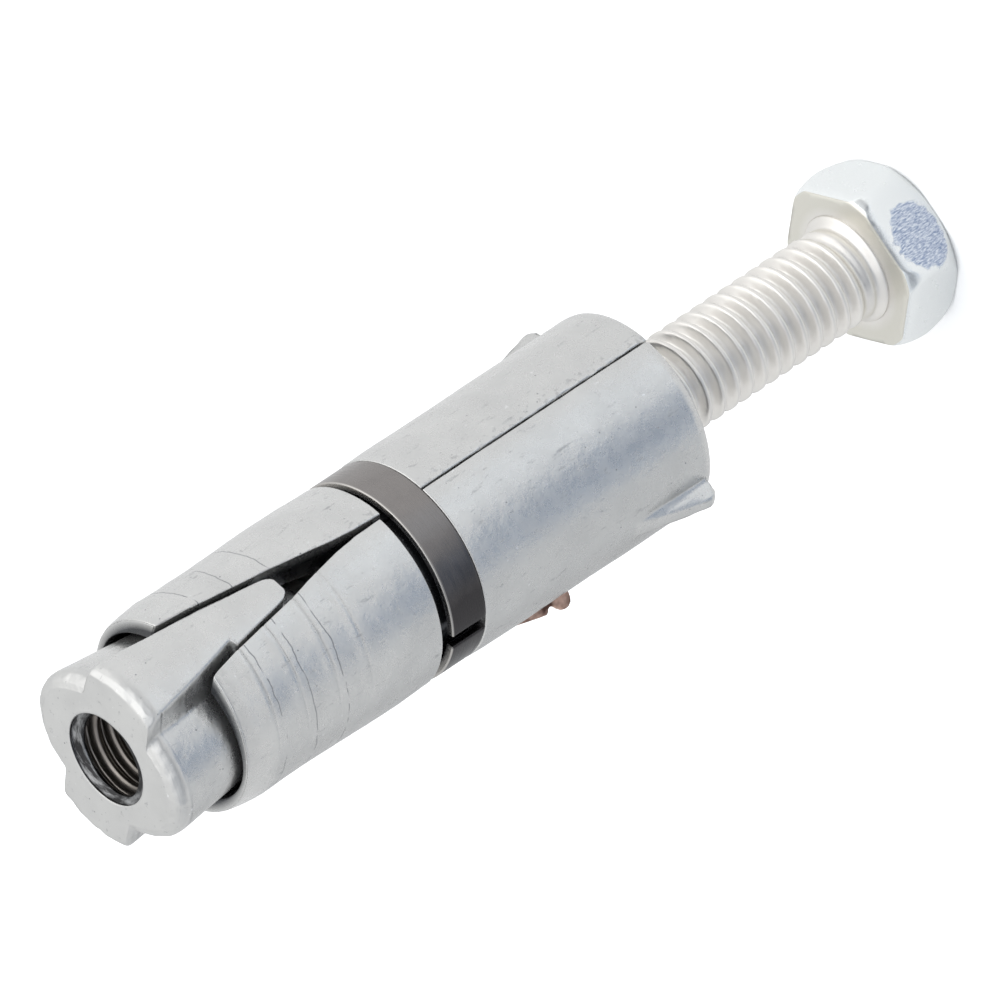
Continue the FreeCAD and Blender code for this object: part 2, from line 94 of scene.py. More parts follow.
class BandSizes(bpy.types.PropertyGroup):
    """Sizes of the retaining band."""

    width: bpy.props.FloatProperty(
        name="Width", description="Along the axis", default=0.00334, unit="LENGTH")
    outside: bpy.props.FloatProperty(
        name="Outside", description="Outer radius", default=0.0082, unit="LENGTH")
    inside: bpy.props.FloatProperty(
        name="Inside", description="Inner radius", default=0.00756, unit="LENGTH")
    opening: bpy.props.FloatProperty(
        name="Opening", description="Gap between the ends", default=0.0011, unit="LENGTH")


class BoltSizes(bpy.types.PropertyGroup):
    """Sizes of the bolt."""

    length: bpy.props.FloatProperty(
        name="Length", description="Bearing face to the tip", default=0.0635, unit="LENGTH")
    stand_off: bpy.props.FloatProperty(
        name="Stand-off", description="Sleeve's rear to the bearing face", default=0.0219, unit="LENGTH")
    crest: bpy.props.FloatProperty(
        name="Crest radius", description="Radius of the thread's crests", default=0.00387, unit="LENGTH")
    depth: bpy.props.FloatProperty(
        name="Thread depth", description="Crest to root", default=0.00078, unit="LENGTH")
    flats: bpy.props.FloatProperty(
        name="Across flats", description="Width of the hexagon", default=0.0125, unit="LENGTH")
    head_height: bpy.props.FloatProperty(
        name="Head height", description="Along the axis", default=0.00516, unit="LENGTH")


class AnchorSizes(bpy.types.PropertyGroup):
    """All sizes, by piece."""

    sleeve: bpy.props.PointerProperty(type=SleeveSizes)
    nut: bpy.props.PointerProperty(type=NutSizes)
    band: bpy.props.PointerProperty(type=BandSizes)
    bolt: bpy.props.PointerProperty(type=BoltSizes)


# Geometry helpers, in millimetres and in a frame with the anchor lying: its X is along the axis
# toward the head, and the split between the halves is Y = 0


def mm(value):
    """Turn metres to millimetres."""
    return value * 1000.0


def to_row(points):
    """Stand the points up, X down and Z along +X, and turn them to metres."""
    return np.stack([points[..., 2], points[..., 1], -points[..., 0]], axis=-1) * 0.001


def noise(points, cell, seed):
    """Smooth seeded noise from -1 to 1 at the points, with bumps about one cell wide."""
    scaled = points / cell + 1000.0
    base = np.floor(scaled).astype(np.int64)
    part = scaled - base
    part = part * part * (3.0 - 2.0 * part)
    total = np.zeros(points.shape[:-1])
    for corner in range(8):
        step = np.array([corner & 1, corner >> 1 & 1, corner >> 2 & 1])
        at = base + step
        # Odd factors scatter the lattice numbers before the bits are mixed
        mixed = at[..., 0] * 73856093 ^ at[..., 1] * 19349663 ^ at[..., 2] * 83492791
        mixed = (mixed ^ seed * 2654435761) & 0xFFFFFFFF
        mixed = (mixed ^ mixed >> 15) * 2246822519 & 0xFFFFFFFF
        mixed = (mixed ^ mixed >> 13) * 3266489917 & 0xFFFFFFFF
        value = (mixed >> 8 & 0xFFFF) / 32767.5 - 1.0
        weight = np.prod(np.where(step == 1, part, 1.0 - part), axis=-1)
        total += value * weight
    return total


def toward(azimuth, height):
    """Unit vector toward a place round the anchor, by its azimuth and height in degrees."""
    level = math.cos(math.radians(height))
    east = level * math.cos(math.radians(azimuth))
    north = level * math.sin(math.radians(azimuth))
    return Vector((east, north, math.sin(math.radians(height))))


def ramp(value, low, high):
    """Smooth step from 0 at low to 1 at high."""
    share = np.clip((value - low) / (high - low), 0.0, 1.0)
    return share * share * (3.0 - 2.0 * share)


def bump(value, middle, width):
    """Smooth hill of height 1 about the middle."""
    return np.exp(-((value - middle) / width) ** 2)


def table(value, pairs):
    """Read a value from a table of (place, value) pairs, straight in between."""
    places, values = zip(*pairs)
    return np.interp(value, places, values)


def quarter(share):
    """Drop of a round edge, from 0 to 1 as the share goes from 0 to 1."""
    return 1.0 - np.sqrt(1.0 - share ** 2)


def new_piece(name, points, faces, body, nodes, material):
    """Make one smooth mesh object of points in millimetres, under its body's empty, and hide the CAD parts it
    stands for.
    """
    mesh = bpy.data.meshes.new(name)
    mesh.from_pydata(to_row(points).tolist(), [], faces)
    mesh.validate()
    mesh.polygons.foreach_set("use_smooth", [True] * len(mesh.polygons))
    mesh.update()
    piece = bpy.data.objects.new(name, mesh)
    bpy.context.scene.collection.objects.link(piece)
    mesh.materials.append(material)
    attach(piece, body)
    if nodes:
        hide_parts(*nodes)
    return piece


def quads(rows):
    """List the quads of a grid of vertex numbers."""
    corners = [rows[:-1, :-1], rows[:-1, 1:], rows[1:, 1:], rows[1:, :-1]]
    return np.stack([corner.ravel() for corner in corners], axis=1).tolist()


def block_mesh(shape, place):
    """Skin a bent block: place() turns lattice indices to points, and only the skin is kept."""
    grid = np.indices(shape)
    skin = np.zeros(shape, bool)
    skin[[0, -1], :, :] = True
    skin[:, [0, -1], :] = True
    skin[:, :, [0, -1]] = True
    number = np.full(shape, -1)
    number[skin] = np.arange(skin.sum())
    points = place(grid[0][skin], grid[1][skin], grid[2][skin])
    faces = quads(number[:, :, 0])
    faces += quads(number[:, ::-1, -1])
    faces += quads(number[0, ::-1, :])
    faces += quads(number[-1, :, :])
    faces += quads(number[:, 0, ::-1])
    faces += quads(number[:, -1, :])
    return points, faces


def even_turns(count):
    """Angles of so many points evenly round the axis."""
    return np.linspace(0.0, 2.0 * math.pi, count + 1)[:-1]


def ring_at(x, radius, turns):
    """Make one ring round the axis at x, with a point at each of the turns."""
    return np.stack([np.full_like(turns, x), radius * np.cos(turns), radius * np.sin(turns)], axis=-1)


def ring_mesh(rings, closed=False, capped=False):
    """Skin a stack of rings that go round the axis, joined end to end or with a fan over each end."""
    stack = np.stack(rings)
    count, around = stack.shape[:2]
    number = np.arange(count * around).reshape(count, around)
    number = np.concatenate([number, number[:, :1]], axis=1)
    if closed:
        number = np.concatenate([number, number[:1]], axis=0)
    faces = quads(number)
    points = stack.reshape(-1, 3)
    if capped:
        for row, turn in ((0, -1), (-1, 1)):
            points = np.concatenate([points, stack[row].mean(axis=0)[None]])
            last = len(points) - 1
            loop = number[row].tolist()
            faces += [[*pair, last][::turn] for pair in zip(loop[:-1], loop[1:])]
    return points, faces


def join_skins(skins):
    """Put several skins into one mesh."""
    points = []
    faces = []
    offset = 0
    for skin_points, skin_faces in skins:
        points.append(skin_points)
        faces += [[index + offset for index in face] for face in skin_faces]
        offset += len(skin_points)
    return np.concatenate(points), faces


def soften(distances, radius):
    """Round a block's edges: each entry is how far the point is from that pair of walls."""
    short = [np.clip(radius - distance, 0.0, None) for distance in distances]
    length = np.sqrt(sum(value * value for value in short))
    factor = np.where(length > 1e-9, radius / np.maximum(length, 1e-9), 1.0)
    return [np.where(value > 0.0, radius - value * factor, distance)
            for value, distance in zip(short, distances)]


def edge_steps(radius):
    """Distances from an edge at which a rounded block needs its lattice lines."""
    return [0.0, 0.35 * radius, 0.7 * radius, radius]


def spaced(start, stop, step, extra=()):
    """Places from start to stop about a step apart, with the extra places among them."""
    places = list(np.linspace(start, stop, max(2, int(round(abs(stop - start) / step)) + 1)))
    places += list(extra)
    places = sorted(set(round(float(place), 5) for place in places))
    kept = [places[0]]
    for place in places[1:]:
        if place - kept[-1] > 0.004:
            kept.append(place)
    kept[-1] = places[-1]
    return np.array(kept)


# Sleeve

# Front plane of the sleeve and rear end of the nut's seat in it
SLEEVE_FRONT = -46.66
SEAT_REAR = -29.26
# The seat's half widths across and along the split, at its front and at its rear end
SEAT_WIDE = (7.358, 5.5)
SEAT_NARROW = (6.313, 4.95)
# How far ahead of the rear end the band groove's front wall is, on the near and the far half
GROOVE_FRONTS = {True: 27.32, False: 26.95}
# Marks of the mould's slides round the front section: place, drop and lean
MOULD_STEPS = ((-43.7, 0.060, 0.004), (-40.7, 0.045, -0.006), (-37.55, 0.050, 0.010), (-34.4, 0.035, 0.0))
# Half width of the seam and slot by the distance ahead of the groove
SLOT_WIDTHS = (
    (-60.0, 0.065), (-0.4, 0.065), (0.0, 0.15), (2.6, 0.25), (4.7, 0.48), (6.1, 0.73), (8.2, 1.10),
    (10.0, 1.49), (16.5, 2.46), (18.8, 2.83), (19.3, 2.98), (19.8, 3.20),
)
# How far a half's outside stands from the rear section's radius, by the place along the axis
WALL_PROFILE = (
    (-46.66, -0.40), (-46.3, -0.32), (-45.6, -0.20), (-44.6, -0.10), (-43.9, -0.06), (-42.0, -0.10),
    (-39.0, -0.11), (-35.5, -0.04), (-33.5, 0.01), (-30.0, 0.0), (-27.9, -0.07), (-25.0, -0.08),
    (-22.9, -0.06), (-21.0, -0.01), (-1.0, 0.0), (0.0, 0.0),
)
REAR_ROUNDING = 0.95
GROOVE_LIP = 0.12
# Radius of the fin's crest by the place along the axis, and where the fin starts
FIN_START = -9.2
FIN_CREST = (
    (-9.2, 8.2), (-8.0, 8.28), (-1.95, 9.78), (-1.5, 9.84), (-1.1, 9.72), (-0.88, 9.45),
    (-0.80, 9.0), (-0.79, 8.2), (0.0, 8.0),
)
FIN_PLACES = (-1.95, -1.5, -1.25, -1.1, -1.0, -0.94, -0.88, -0.84, -0.80, -0.79, -0.6, -0.45, -0.3)
# The gate stub: its angle from the seam, where it starts and ends, its foot, top and half width
GATE_ANGLE = math.radians(127.2)
GATE_ENDS = (-17.9, -12.3)
GATE_FOOT = 8.0
GATE_TOP = (
    (-17.9, 8.28), (-17.4, 8.45), (-16.4, 8.68), (-15.4, 8.90), (-14.8, 9.02), (-14.62, 8.92),
    (-14.45, 8.70), (-14.2, 8.62), (-13.95, 8.74), (-13.7, 9.06), (-13.4, 9.32), (-13.1, 9.40),
    (-12.8, 9.36), (-12.5, 9.16), (-12.33, 8.84), (-12.32, 8.4),
)
GATE_WIDTH = ((-17.9, 0.10), (-16.5, 0.22), (-14.8, 0.30), (-14.2, 0.22), (-13.3, 0.36), (-12.3, 0.26))


def slot_half(x, groove_front):
    """Half width of the seam or slot at x."""
    return table(-x - groove_front, SLOT_WIDTHS)


def seat_radius(x, angle, passage):
    """Radius of the hole inside a half, an oval seat and then the bolt's passage."""
    share = np.clip((x - SLEEVE_FRONT) / (SEAT_REAR - SLEEVE_FRONT), 0.0, 1.0)
    wide = SEAT_WIDE[0] + (SEAT_WIDE[1] - SEAT_WIDE[0]) * share
    narrow = SEAT_NARROW[0] + (SEAT_NARROW[1] - SEAT_NARROW[0]) * share
    seat = 1.0 / np.sqrt((np.cos(angle) / wide) ** 2 + (np.sin(angle) / narrow) ** 2)
    behind = passage + (seat - passage) * (1.0 - ramp(x, SEAT_REAR, SEAT_REAR + 0.26))
    return np.where(x < SEAT_REAR, seat, behind)


def within_groove(x, groove_rear, groove_front):
    """Tell where x lies between the groove's walls."""
    return (x > -groove_front + 1e-6) & (x < -groove_rear - 1e-6)


def wall_radius(x, angle, near, rear, floor, groove_rear, groove_front):
    """Outer radius of a half, with its rim, groove, rear rounding, fin and cast marks."""
    base = rear + table(x, WALL_PROFILE)
    # Rear outer edge, rounded
    reach = np.clip((x + REAR_ROUNDING) / REAR_ROUNDING, 0.0, 1.0)
    base = base - 0.42 * quarter(math.sqrt(0.97) * reach)
    # Steps of the mould on the front section, strongest beside the near half's upper slot
    degrees = np.degrees(angle)
    upper = ramp(degrees, 8.0, 45.0) if near else 0.6
    for middle, drop, lean in MOULD_STEPS:
        place = middle + lean * degrees * 0.1
        shelf = ramp(x, place - 0.9, place - 0.1) * (1.0 - ramp(x, place - 0.1, place + 0.05))
        base = base - upper * drop * (bump(x, place, 0.10) - 0.7 * shelf)
    # Groove for the band, between two walls with small round lips
    for wall, sign in ((-groove_front, 1.0), (-groove_rear, -1.0)):
        inside = (x - wall) * sign
        lip = np.clip((inside + GROOVE_LIP) / GROOVE_LIP, 0.0, 1.0)
        base = base - GROOVE_LIP * quarter(math.sqrt(0.98) * lip) * (inside <= 0.0)
    base = np.where(within_groove(x, groove_rear, groove_front), floor, base)
    # Fin, thinner toward its crest
    across = np.abs(np.sin(angle)) * rear
    height = np.where(x > FIN_START, np.clip(table(x, FIN_CREST) - base, 0.0, None), 0.0)
    taper = 0.95 - 0.18 * height
    return base + height * (1.0 - ramp(across, taper - 0.30, taper + 0.06))


def cast_wander(flat, seam, in_groove, near, uneven, groove_rear):
    """How far the cast surface stands out or in, rougher along the seam's upper edge."""
    seed = 11 if near else 29
    wander = uneven * noise(flat, 3.4, seed) + 0.45 * uneven * noise(flat, 1.1, seed + 1)
    wander = wander + 0.22 * uneven * noise(flat, 0.45, seed + 2)
    # The pits are deepest on the far half's rear section
    pits = np.clip(noise(flat, 0.5, seed + 3) - 0.05, 0.0, None)
    amount = 0.025 if near else np.where(flat[..., 0] > -groove_rear, 0.20, 0.035)
    wander = wander - seam * amount * pits
    return np.where(in_groove, 0.4 * wander + 0.03 * noise(flat, 0.5, seed + 5), wander)


def half_stations(length, edge, groove_rear, groove_front):
    """Places along a half at which its lattice has lines."""
    marks = [-length + value for value in edge_steps(edge)] + [-value for value in edge_steps(edge)]
    marks += FIN_PLACES
    for wall, sign in ((-groove_front, 1.0), (-groove_rear, -1.0)):
        marks += [wall - sign * gap for gap in (0.25, 0.12, 0.08, 0.04, 0.015, 0.0)]
        marks += [wall + sign * gap for gap in (0.005, 0.15)]
    for middle, _, _ in MOULD_STEPS:
        marks += [middle + gap for gap in (-0.12, -0.06, 0.0, 0.06, 0.12)]
    return spaced(-length, 0.0, 0.20, marks)


def build_half(sizes, near, material):
    """Build one half of the sleeve with its fin."""
    side = -1.0 if near else 1.0
    length = mm(sizes.length)
    rear = mm(sizes.rear_radius)
    floor = mm(sizes.floor_radius)
    groove_rear = mm(sizes.groove_rear)
    groove_front = GROOVE_FRONTS[near]
    passage = mm(sizes.passage)
    edge = mm(sizes.edge)
    stations = half_stations(length, edge, groove_rear, groove_front)
    steps = edge_steps(edge)
    # Lines round the half, more of them across the fin than beside it
    even = np.linspace(-1.0, 1.0, 150)
    dense = np.sort(even - 0.044 * np.tanh(even / 0.05) * (1.0 - np.abs(even)))
    share = np.concatenate([[-1.0] * 3, dense, [1.0] * 3])
    lateral = np.concatenate([steps[:-1], np.full(len(dense), edge), steps[:-1][::-1]])
    is_edge = np.abs(share) >= 0.999999

    def place(u, v, t):
        x = stations[u]
        half = slot_half(x, groove_front)
        edge_angle = np.arccos(np.clip((half + lateral[v]) / 8.2, -1.0, 1.0))
        angle = np.where(is_edge[v], np.sign(share[v]) * edge_angle, share[v] * edge_angle)
        outer = wall_radius(x, angle, near, rear, floor, groove_rear, groove_front)
        inner = seat_radius(x, angle, passage)
        flat = np.stack([x, side * outer * np.cos(angle), outer * np.sin(angle)], axis=-1)
        seam = (1.0 - ramp(outer * np.cos(angle) - half, 0.15, 0.85)) * (np.sin(angle) > 0.5)
        in_groove = within_groove(x, groove_rear, groove_front)
        outer = outer + cast_wander(flat, seam, in_groove, near, mm(sizes.roughness), groove_rear)
        # Lattice lines through the wall: four from outside, two between and four from inside
        thick = outer - inner
        depths = [np.full_like(thick, step) for step in steps]
        depths += [edge + (thick - 2.0 * edge) * part / 3.0 for part in (1, 2)]
        depths += [thick - step for step in steps[::-1]]
        depth = np.choose(t, depths)
        from_ends = np.minimum(x + length, -x)
        from_slots = np.where(is_edge[v], lateral[v], 10.0)
        from_faces = np.minimum(depth, thick - depth)
        new_ends, new_slots, new_faces = soften([from_ends, from_slots, from_faces], edge)
        x_new = np.where(x + length < -x, -length + new_ends, -new_ends)
        radius = np.where(depth < thick - depth, outer - new_faces, inner + new_faces)
        slot_edge = np.arccos(np.clip((half + new_slots) / radius, -1.0, 1.0))
        inside_edge = np.arccos(np.clip((half + edge) / radius, -1.0, 1.0))
        final = np.where(is_edge[v], np.sign(share[v]) * slot_edge, share[v] * inside_edge)
        return np.stack([x_new, side * radius * np.cos(final), radius * np.sin(final)], axis=-1)

    points, faces = block_mesh((len(stations), len(share), 10), place)
    if not near:
        faces = [face[::-1] for face in faces]
    which = "near" if near else "far"
    return new_piece(f"{which}_half_casting", points, faces, f"{which}_half", [f"shield_half_{which}"],
                     material)


def build_gate(material):
    """Build the torn stub of the casting gate on the near half."""
    out = np.array([0.0, -math.sin(GATE_ANGLE), math.cos(GATE_ANGLE)])
    along = np.array([0.0, -math.cos(GATE_ANGLE), -math.sin(GATE_ANGLE)])
    turns = even_turns(24)
    up = np.sign(np.sin(turns)) * np.abs(np.sin(turns)) ** 0.6
    over = np.sign(np.cos(turns)) * np.abs(np.cos(turns)) ** 0.6
    rings = []
    for x in spaced(*GATE_ENDS, 0.07):
        half_high = (table(x, GATE_TOP) - GATE_FOOT) / 2.0
        radius = GATE_FOOT + half_high * (1.0 + up)
        ring = radius[:, None] * out + (table(x, GATE_WIDTH) * over)[:, None] * along
        ring[:, 0] = x
        rings.append(ring)
    stack = np.stack(rings)
    shift = 0.035 * noise(stack, 0.5, 71) + 0.02 * noise(stack, 0.2, 72)
    points, faces = ring_mesh(stack + shift[..., None] * along, capped=True)
    return new_piece("gate_stub", points, faces, "near_half", [], material)


# Thread, the same on the bolt and in the nut, which share one phase

PITCH = 25.4 / 18.0
THREAD_DEPTH = 0.78


def thread_depth(x, angle):
    """Share of the thread's depth, 0 on a crest and 1 in a root, for a right-hand thread."""
    phase = (x / PITCH - angle / (2.0 * math.pi)) % 1.0
    rise = np.abs(2.0 * phase - 1.0)
    share = np.clip((rise - 0.20) / 0.68, 0.0, 1.0)
    return 0.5 * share + 0.5 * np.sin(0.5 * math.pi * share)


# Cone nut

# Half widths at the nut's rear end, across and along the split
NUT_REAR_WIDE = 5.6
NUT_REAR_NARROW = 4.75
NUT_ROUNDING = 1.35
# Half widths of a key by the distance from the nut's front: on the +Y side, on the -Y side, which
# has a step, and at the -Y side's foot; then the radius of the keys' top
KEY_TIP = ((14.9, 1.27), (15.4, 1.13), (15.75, 0.90), (15.93, 0.65), (16.0, 0.38))
KEY_FAR = ((0.0, 3.18), (0.5, 3.25), (3.0, 2.95), (6.5, 2.50), (9.8, 2.12)) + KEY_TIP
KEY_NEAR = (
    (0.0, 3.18), (0.5, 3.25), (3.0, 2.80), (6.3, 2.20), (8.4, 1.74), (9.55, 1.46), (9.72, 1.50),
    (9.86, 2.02), (10.0, 2.09),
) + KEY_TIP
KEY_NEAR_FOOT = (
    (0.0, 3.45), (3.0, 3.25), (6.3, 2.90), (9.6, 2.55), (9.86, 2.30), (10.2, 2.13), (14.9, 1.29),
    (15.4, 1.15), (15.75, 0.92), (15.93, 0.68), (16.0, 0.42),
)
KEY_TOP = ((0.0, 7.44), (0.12, 7.58), (0.35, 7.76), (0.7, 7.90), (1.1, 7.97), (16.0, 7.98))
# Distances from the nut's front that need a ring: the front edge, the key's step and the key's tip
NUT_PLACES = (
    0.02, 0.06, 0.12, 0.2, 0.3, 0.42, 0.56, 0.72, 0.9, 1.1, 1.35,
    9.4, 9.55, 9.62, 9.68, 9.74, 9.8, 9.86, 9.92, 10.0, 10.1,
    15.4, 15.6, 15.75, 15.85, 15.93, 15.98, 16.0, 16.03, 16.06, 16.1, 16.2,
)
# Scraped spots on the top key's front corner and on the shoulder beside it: normal, centre, depth, reach
NUT_SHAVES = (
    ((-0.80, -0.10, 0.60), (0.38, -1.9, 7.60), 0.05, 1.0),
    ((-0.62, -0.45, 0.60), (0.30, -2.7, 7.25), 0.04, 0.8),
    ((-0.60, 0.45, 0.60), (0.45, 4.6, 4.35), 0.02, 0.8),
)
# Radius of the hole's mouth, and the rings of the front face: share of the way to it and its lip
MOUTH = 3.84
FACE_RINGS = (
    (0.06, -0.005), (0.2, 0.0), (0.4, 0.01), (0.6, 0.01), (0.76, 0.03), (0.88, 0.10), (0.95, 0.15),
    (1.0, 0.08),
)
# Rings of the wall behind the thread: distance from the front and radius, and from the rear end
HOLE_FRONT_RINGS = ((0.04, 3.80), (0.10, 3.84), (0.16, 4.0), (0.6, 4.0), (6.0, 4.0), (12.0, 4.0))
HOLE_REAR_RINGS = ((0.4, 4.0), (0.1, 4.05), (0.0, 4.2))
# Thread in the nut: radius of its roots, of its crests and of its edge, and where it starts
NUT_ROOT = 3.95
NUT_CREST = 3.20
NUT_THREAD_EDGE = 3.96
NUT_THREAD_START = 0.10


def nut_outline(x, wide, narrow):
    """One closed outline round the nut, counter-clockwise as seen from +X, with its two keys."""
    far = table(x, KEY_FAR)
    far_foot = far + 0.06
    near = table(x, KEY_NEAR)
    near_foot = table(x, KEY_NEAR_FOOT)
    top = table(x, KEY_TOP)
    height = 1.0 - ramp(x, 15.98, 16.10)

    def oval(y):
        return narrow * np.sqrt(np.clip(1.0 - (y / wide) ** 2, 0.0, 1.0))

    def crown(y):
        low = oval(y)
        return low + height * (np.sqrt(top * top - y * y) - low)

    def arc(start, stop):
        angles = np.linspace(start, stop, 50)[:-1]
        return np.stack([wide * np.cos(angles), narrow * np.sin(angles)], axis=-1)

    def leg(start, stop):
        share = np.linspace(0.0, 1.0, 12)[:-1, None]
        return np.array(start) + (np.array(stop) - np.array(start)) * share

    over = np.linspace(far, -near, 34)[:-1]
    upper = np.concatenate([
        arc(0.0, math.acos(np.clip(far_foot / wide, -1.0, 1.0))),
        leg((far_foot, oval(far_foot)), (far, crown(far))),
        np.stack([over, crown(over)], axis=-1),
        leg((-near, crown(near)), (-near_foot, oval(near_foot))),
        arc(math.pi - math.acos(np.clip(near_foot / wide, -1.0, 1.0)), math.pi),
    ])
    return np.concatenate([upper, -upper])


def nut_stack(sizes):
    """Outlines from the nut's front end to its rear end, with rounded corners between them."""
    length = mm(sizes.length)
    wide_front = mm(sizes.wide)
    narrow_front = mm(sizes.narrow)
    outer = []
    for x in spaced(0.0, length, 0.17, NUT_PLACES + (length - 0.35, length - 0.2, length - 0.08)):
        share = x / length
        inset = 0.0
        if x < NUT_ROUNDING:
            inset = NUT_ROUNDING - math.sqrt(NUT_ROUNDING ** 2 - (NUT_ROUNDING - x) ** 2)
        inset = min(inset, 1.05) + max(0.0, x - (length - 0.35))
        wide = wide_front + (NUT_REAR_WIDE - wide_front) * share - inset
        narrow = narrow_front + (NUT_REAR_NARROW - narrow_front) * share - inset
        outline = nut_outline(x, wide, narrow)
        outer.append(np.concatenate([np.full((len(outline), 1), x), outline], axis=1))
    stack = np.stack(outer)
    for _ in range(2):
        beside = np.roll(stack, 1, axis=1) + np.roll(stack, -1, axis=1)
        stack = 0.25 * beside + 0.5 * stack
    stack[1:-1, :, 1:] = 0.25 * (stack[:-2, :, 1:] + stack[2:, :, 1:]) + 0.5 * stack[1:-1, :, 1:]
    return stack


def scuff_nut(stack):
    """Give the nut its uneven cast skin, its nicked front edge and its scraped spots."""
    radial = stack.copy()
    radial[..., 0] = 0.0
    radial = radial / np.linalg.norm(radial, axis=-1, keepdims=True)
    wander = 0.032 * noise(stack, 2.6, 41) + 0.016 * noise(stack, 0.9, 42) + 0.006 * noise(stack, 0.4, 43)
    stack = stack + radial * wander[..., None]
    nicks = 0.07 * noise(stack, 0.75, 46) + 0.045 * noise(stack, 0.35, 47)
    nicks = nicks * (1.0 - ramp(stack[..., 0], 0.3, 1.3))
    stack = stack + radial * nicks[..., None]
    for normal, centre, depth, reach in NUT_SHAVES:
        normal = np.array(normal) / np.linalg.norm(normal)
        offset = stack - np.array(centre)
        height = offset @ normal
        close = np.linalg.norm(offset, axis=-1) < reach
        cut = np.where(close & (height > -depth), height + depth, 0.0)
        stack = stack - 0.8 * cut[..., None] * normal
    return stack


def build_nut(sizes, material):
    """Build the cone nut with its keys and its hole."""
    length = mm(sizes.length)
    front = SLEEVE_FRONT - mm(sizes.stand_out)
    stack = scuff_nut(nut_stack(sizes))
    # Front face, almost flat, with a low lip round part of the hole, then the wall behind the thread
    around = np.arctan2(stack[0, :, 2], stack[0, :, 1])
    lip = np.clip(np.cos(around - math.radians(25.0)), 0.0, 1.0) ** 3
    inside = []
    for share, lift in FACE_RINGS:
        ring = stack[0] * (1.0 - share) + ring_at(0.0, MOUTH * share, around)
        ring[:, 0] = -lift * lip + 0.012 * noise(ring, 0.8, 45) + 0.03 * noise(ring, 2.4, 48)
        inside.append(ring)
    inside += [ring_at(depth, radius, around) for depth, radius in HOLE_FRONT_RINGS]
    inside += [ring_at(length - depth, radius, around) for depth, radius in HOLE_REAR_RINGS]
    rim = inside[-1]
    for share in (0.3, 0.7):
        ring = rim * (1.0 - share) + stack[-1] * share
        ring[:, 0] = length
        inside.append(ring)
    points, faces = ring_mesh([*stack[::-1], *inside], closed=True)
    points = points + np.array([front, 0.0, 0.0])
    return new_piece("cone_nut_casting", points, faces, "nut", ["cone_nut"], material)


def build_nut_thread(sizes, material):
    """Line the nut's hole with a thin tube whose inside follows the bolt's thread."""
    stop = mm(sizes.length) - 0.15
    front = SLEEVE_FRONT - mm(sizes.stand_out)
    turns = even_turns(96)
    tube = []
    for x in spaced(NUT_THREAD_START, stop, PITCH / 14.0):
        radius = np.maximum(NUT_ROOT - THREAD_DEPTH * thread_depth(front + x, turns), NUT_CREST)
        fade = min(1.0, (x - NUT_THREAD_START) / 0.08)
        radius = NUT_THREAD_EDGE + (radius - NUT_THREAD_EDGE) * fade
        tube.append(ring_at(front + x, radius, turns))
    tube += [ring_at(front + x, 4.3, turns) for x in (stop, NUT_THREAD_START)]
    points, faces = ring_mesh(tube[::-1], closed=True)
    return new_piece("nut_thread", points, faces, "nut", [], material)


# Band

# Rounding of the strip's edges, its rear edge along the axis and the angle of its gap
BAND_EDGE = 0.14
BAND_REAR = -22.985
BAND_GAP = math.radians(83.5)


def strip_lines(size, inner):
    """Lattice lines over a strip's length or width, closer at both edges."""
    steps = edge_steps(BAND_EDGE)[:-1]
    return np.concatenate([steps, inner, [size - value for value in steps[::-1]]])


def build_band(sizes, material):
    """Build the open ring of dark strip in the groove."""
    width = mm(sizes.width)
    outside = mm(sizes.outside)
    thick = outside - mm(sizes.inside)
    half_gap = mm(sizes.opening) / 2.0 / outside
    arc = (2.0 * math.pi - 2.0 * half_gap) * outside
    along_arc = strip_lines(arc, np.linspace(BAND_EDGE, arc - BAND_EDGE, 260))
    across = strip_lines(width, np.linspace(BAND_EDGE, width - BAND_EDGE, 15))
    through = strip_lines(thick, [BAND_EDGE, thick / 2.0, thick - BAND_EDGE])

    def place(u, v, t):
        s = along_arc[u]
        w = across[v]
        d = through[t]
        near = [np.minimum(s, arc - s), np.minimum(w, width - w), np.minimum(d, thick - d)]
        s_new, w_new, d_new = soften(near, BAND_EDGE)
        s = np.where(s < arc / 2.0, s_new, arc - s_new)
        w = np.where(w < width / 2.0, w_new, width - w_new)
        d = np.where(d < thick / 2.0, d_new, thick - d_new)
        angle = BAND_GAP + half_gap + s / outside
        x = BAND_REAR - width + w
        radius = outside - d
        flat = np.stack([x, -radius * np.sin(angle), radius * np.cos(angle)], axis=-1)
        radius = radius + 0.012 * noise(flat, 4.0, 61) + 0.004 * noise(flat, 0.8, 62)
        # The strip's ends spring out by a hair
        radius = radius + 0.03 * bump(s, 0.0, 1.5) + 0.02 * bump(s, arc, 1.5)
        return np.stack([x, -radius * np.sin(angle), radius * np.cos(angle)], axis=-1)

    points, faces = block_mesh((len(along_arc), len(across), len(through)), place)
    faces = [face[::-1] for face in faces]
    return new_piece("band_strip", points, faces, "band", ["retaining_band"], material)


# Bolt

# Radius of the head's turned barrel by the distance from the bearing face
HEAD_BARREL = (
    (0.0, 6.28), (0.02, 6.40), (0.08, 6.52), (0.2, 6.62), (0.5, 6.76), (0.85, 6.90), (1.4, 7.03),
    (1.9, 7.10), (2.4, 7.12), (3.0, 7.06), (3.6, 6.94), (4.2, 6.78), (4.6, 6.64), (4.8, 6.54),
    (4.95, 6.42), (5.05, 6.30), (5.12, 6.17), (5.16, 6.02),
)
HEAD_PLACES = (0.02, 0.06, 0.12, 0.3, 4.95, 5.01, 5.07, 5.11, 5.14)
# Rings of the head's top: share of the rim's radius and how far each lies below the rim
HEAD_TOP_RINGS = ((0.98, 0.0), (0.9, 0.0), (0.8, 0.01), (0.6, 0.03), (0.3, 0.05))
# Angle of the hexagon's first corner round the axis
FIRST_CORNER = math.radians(87.2)


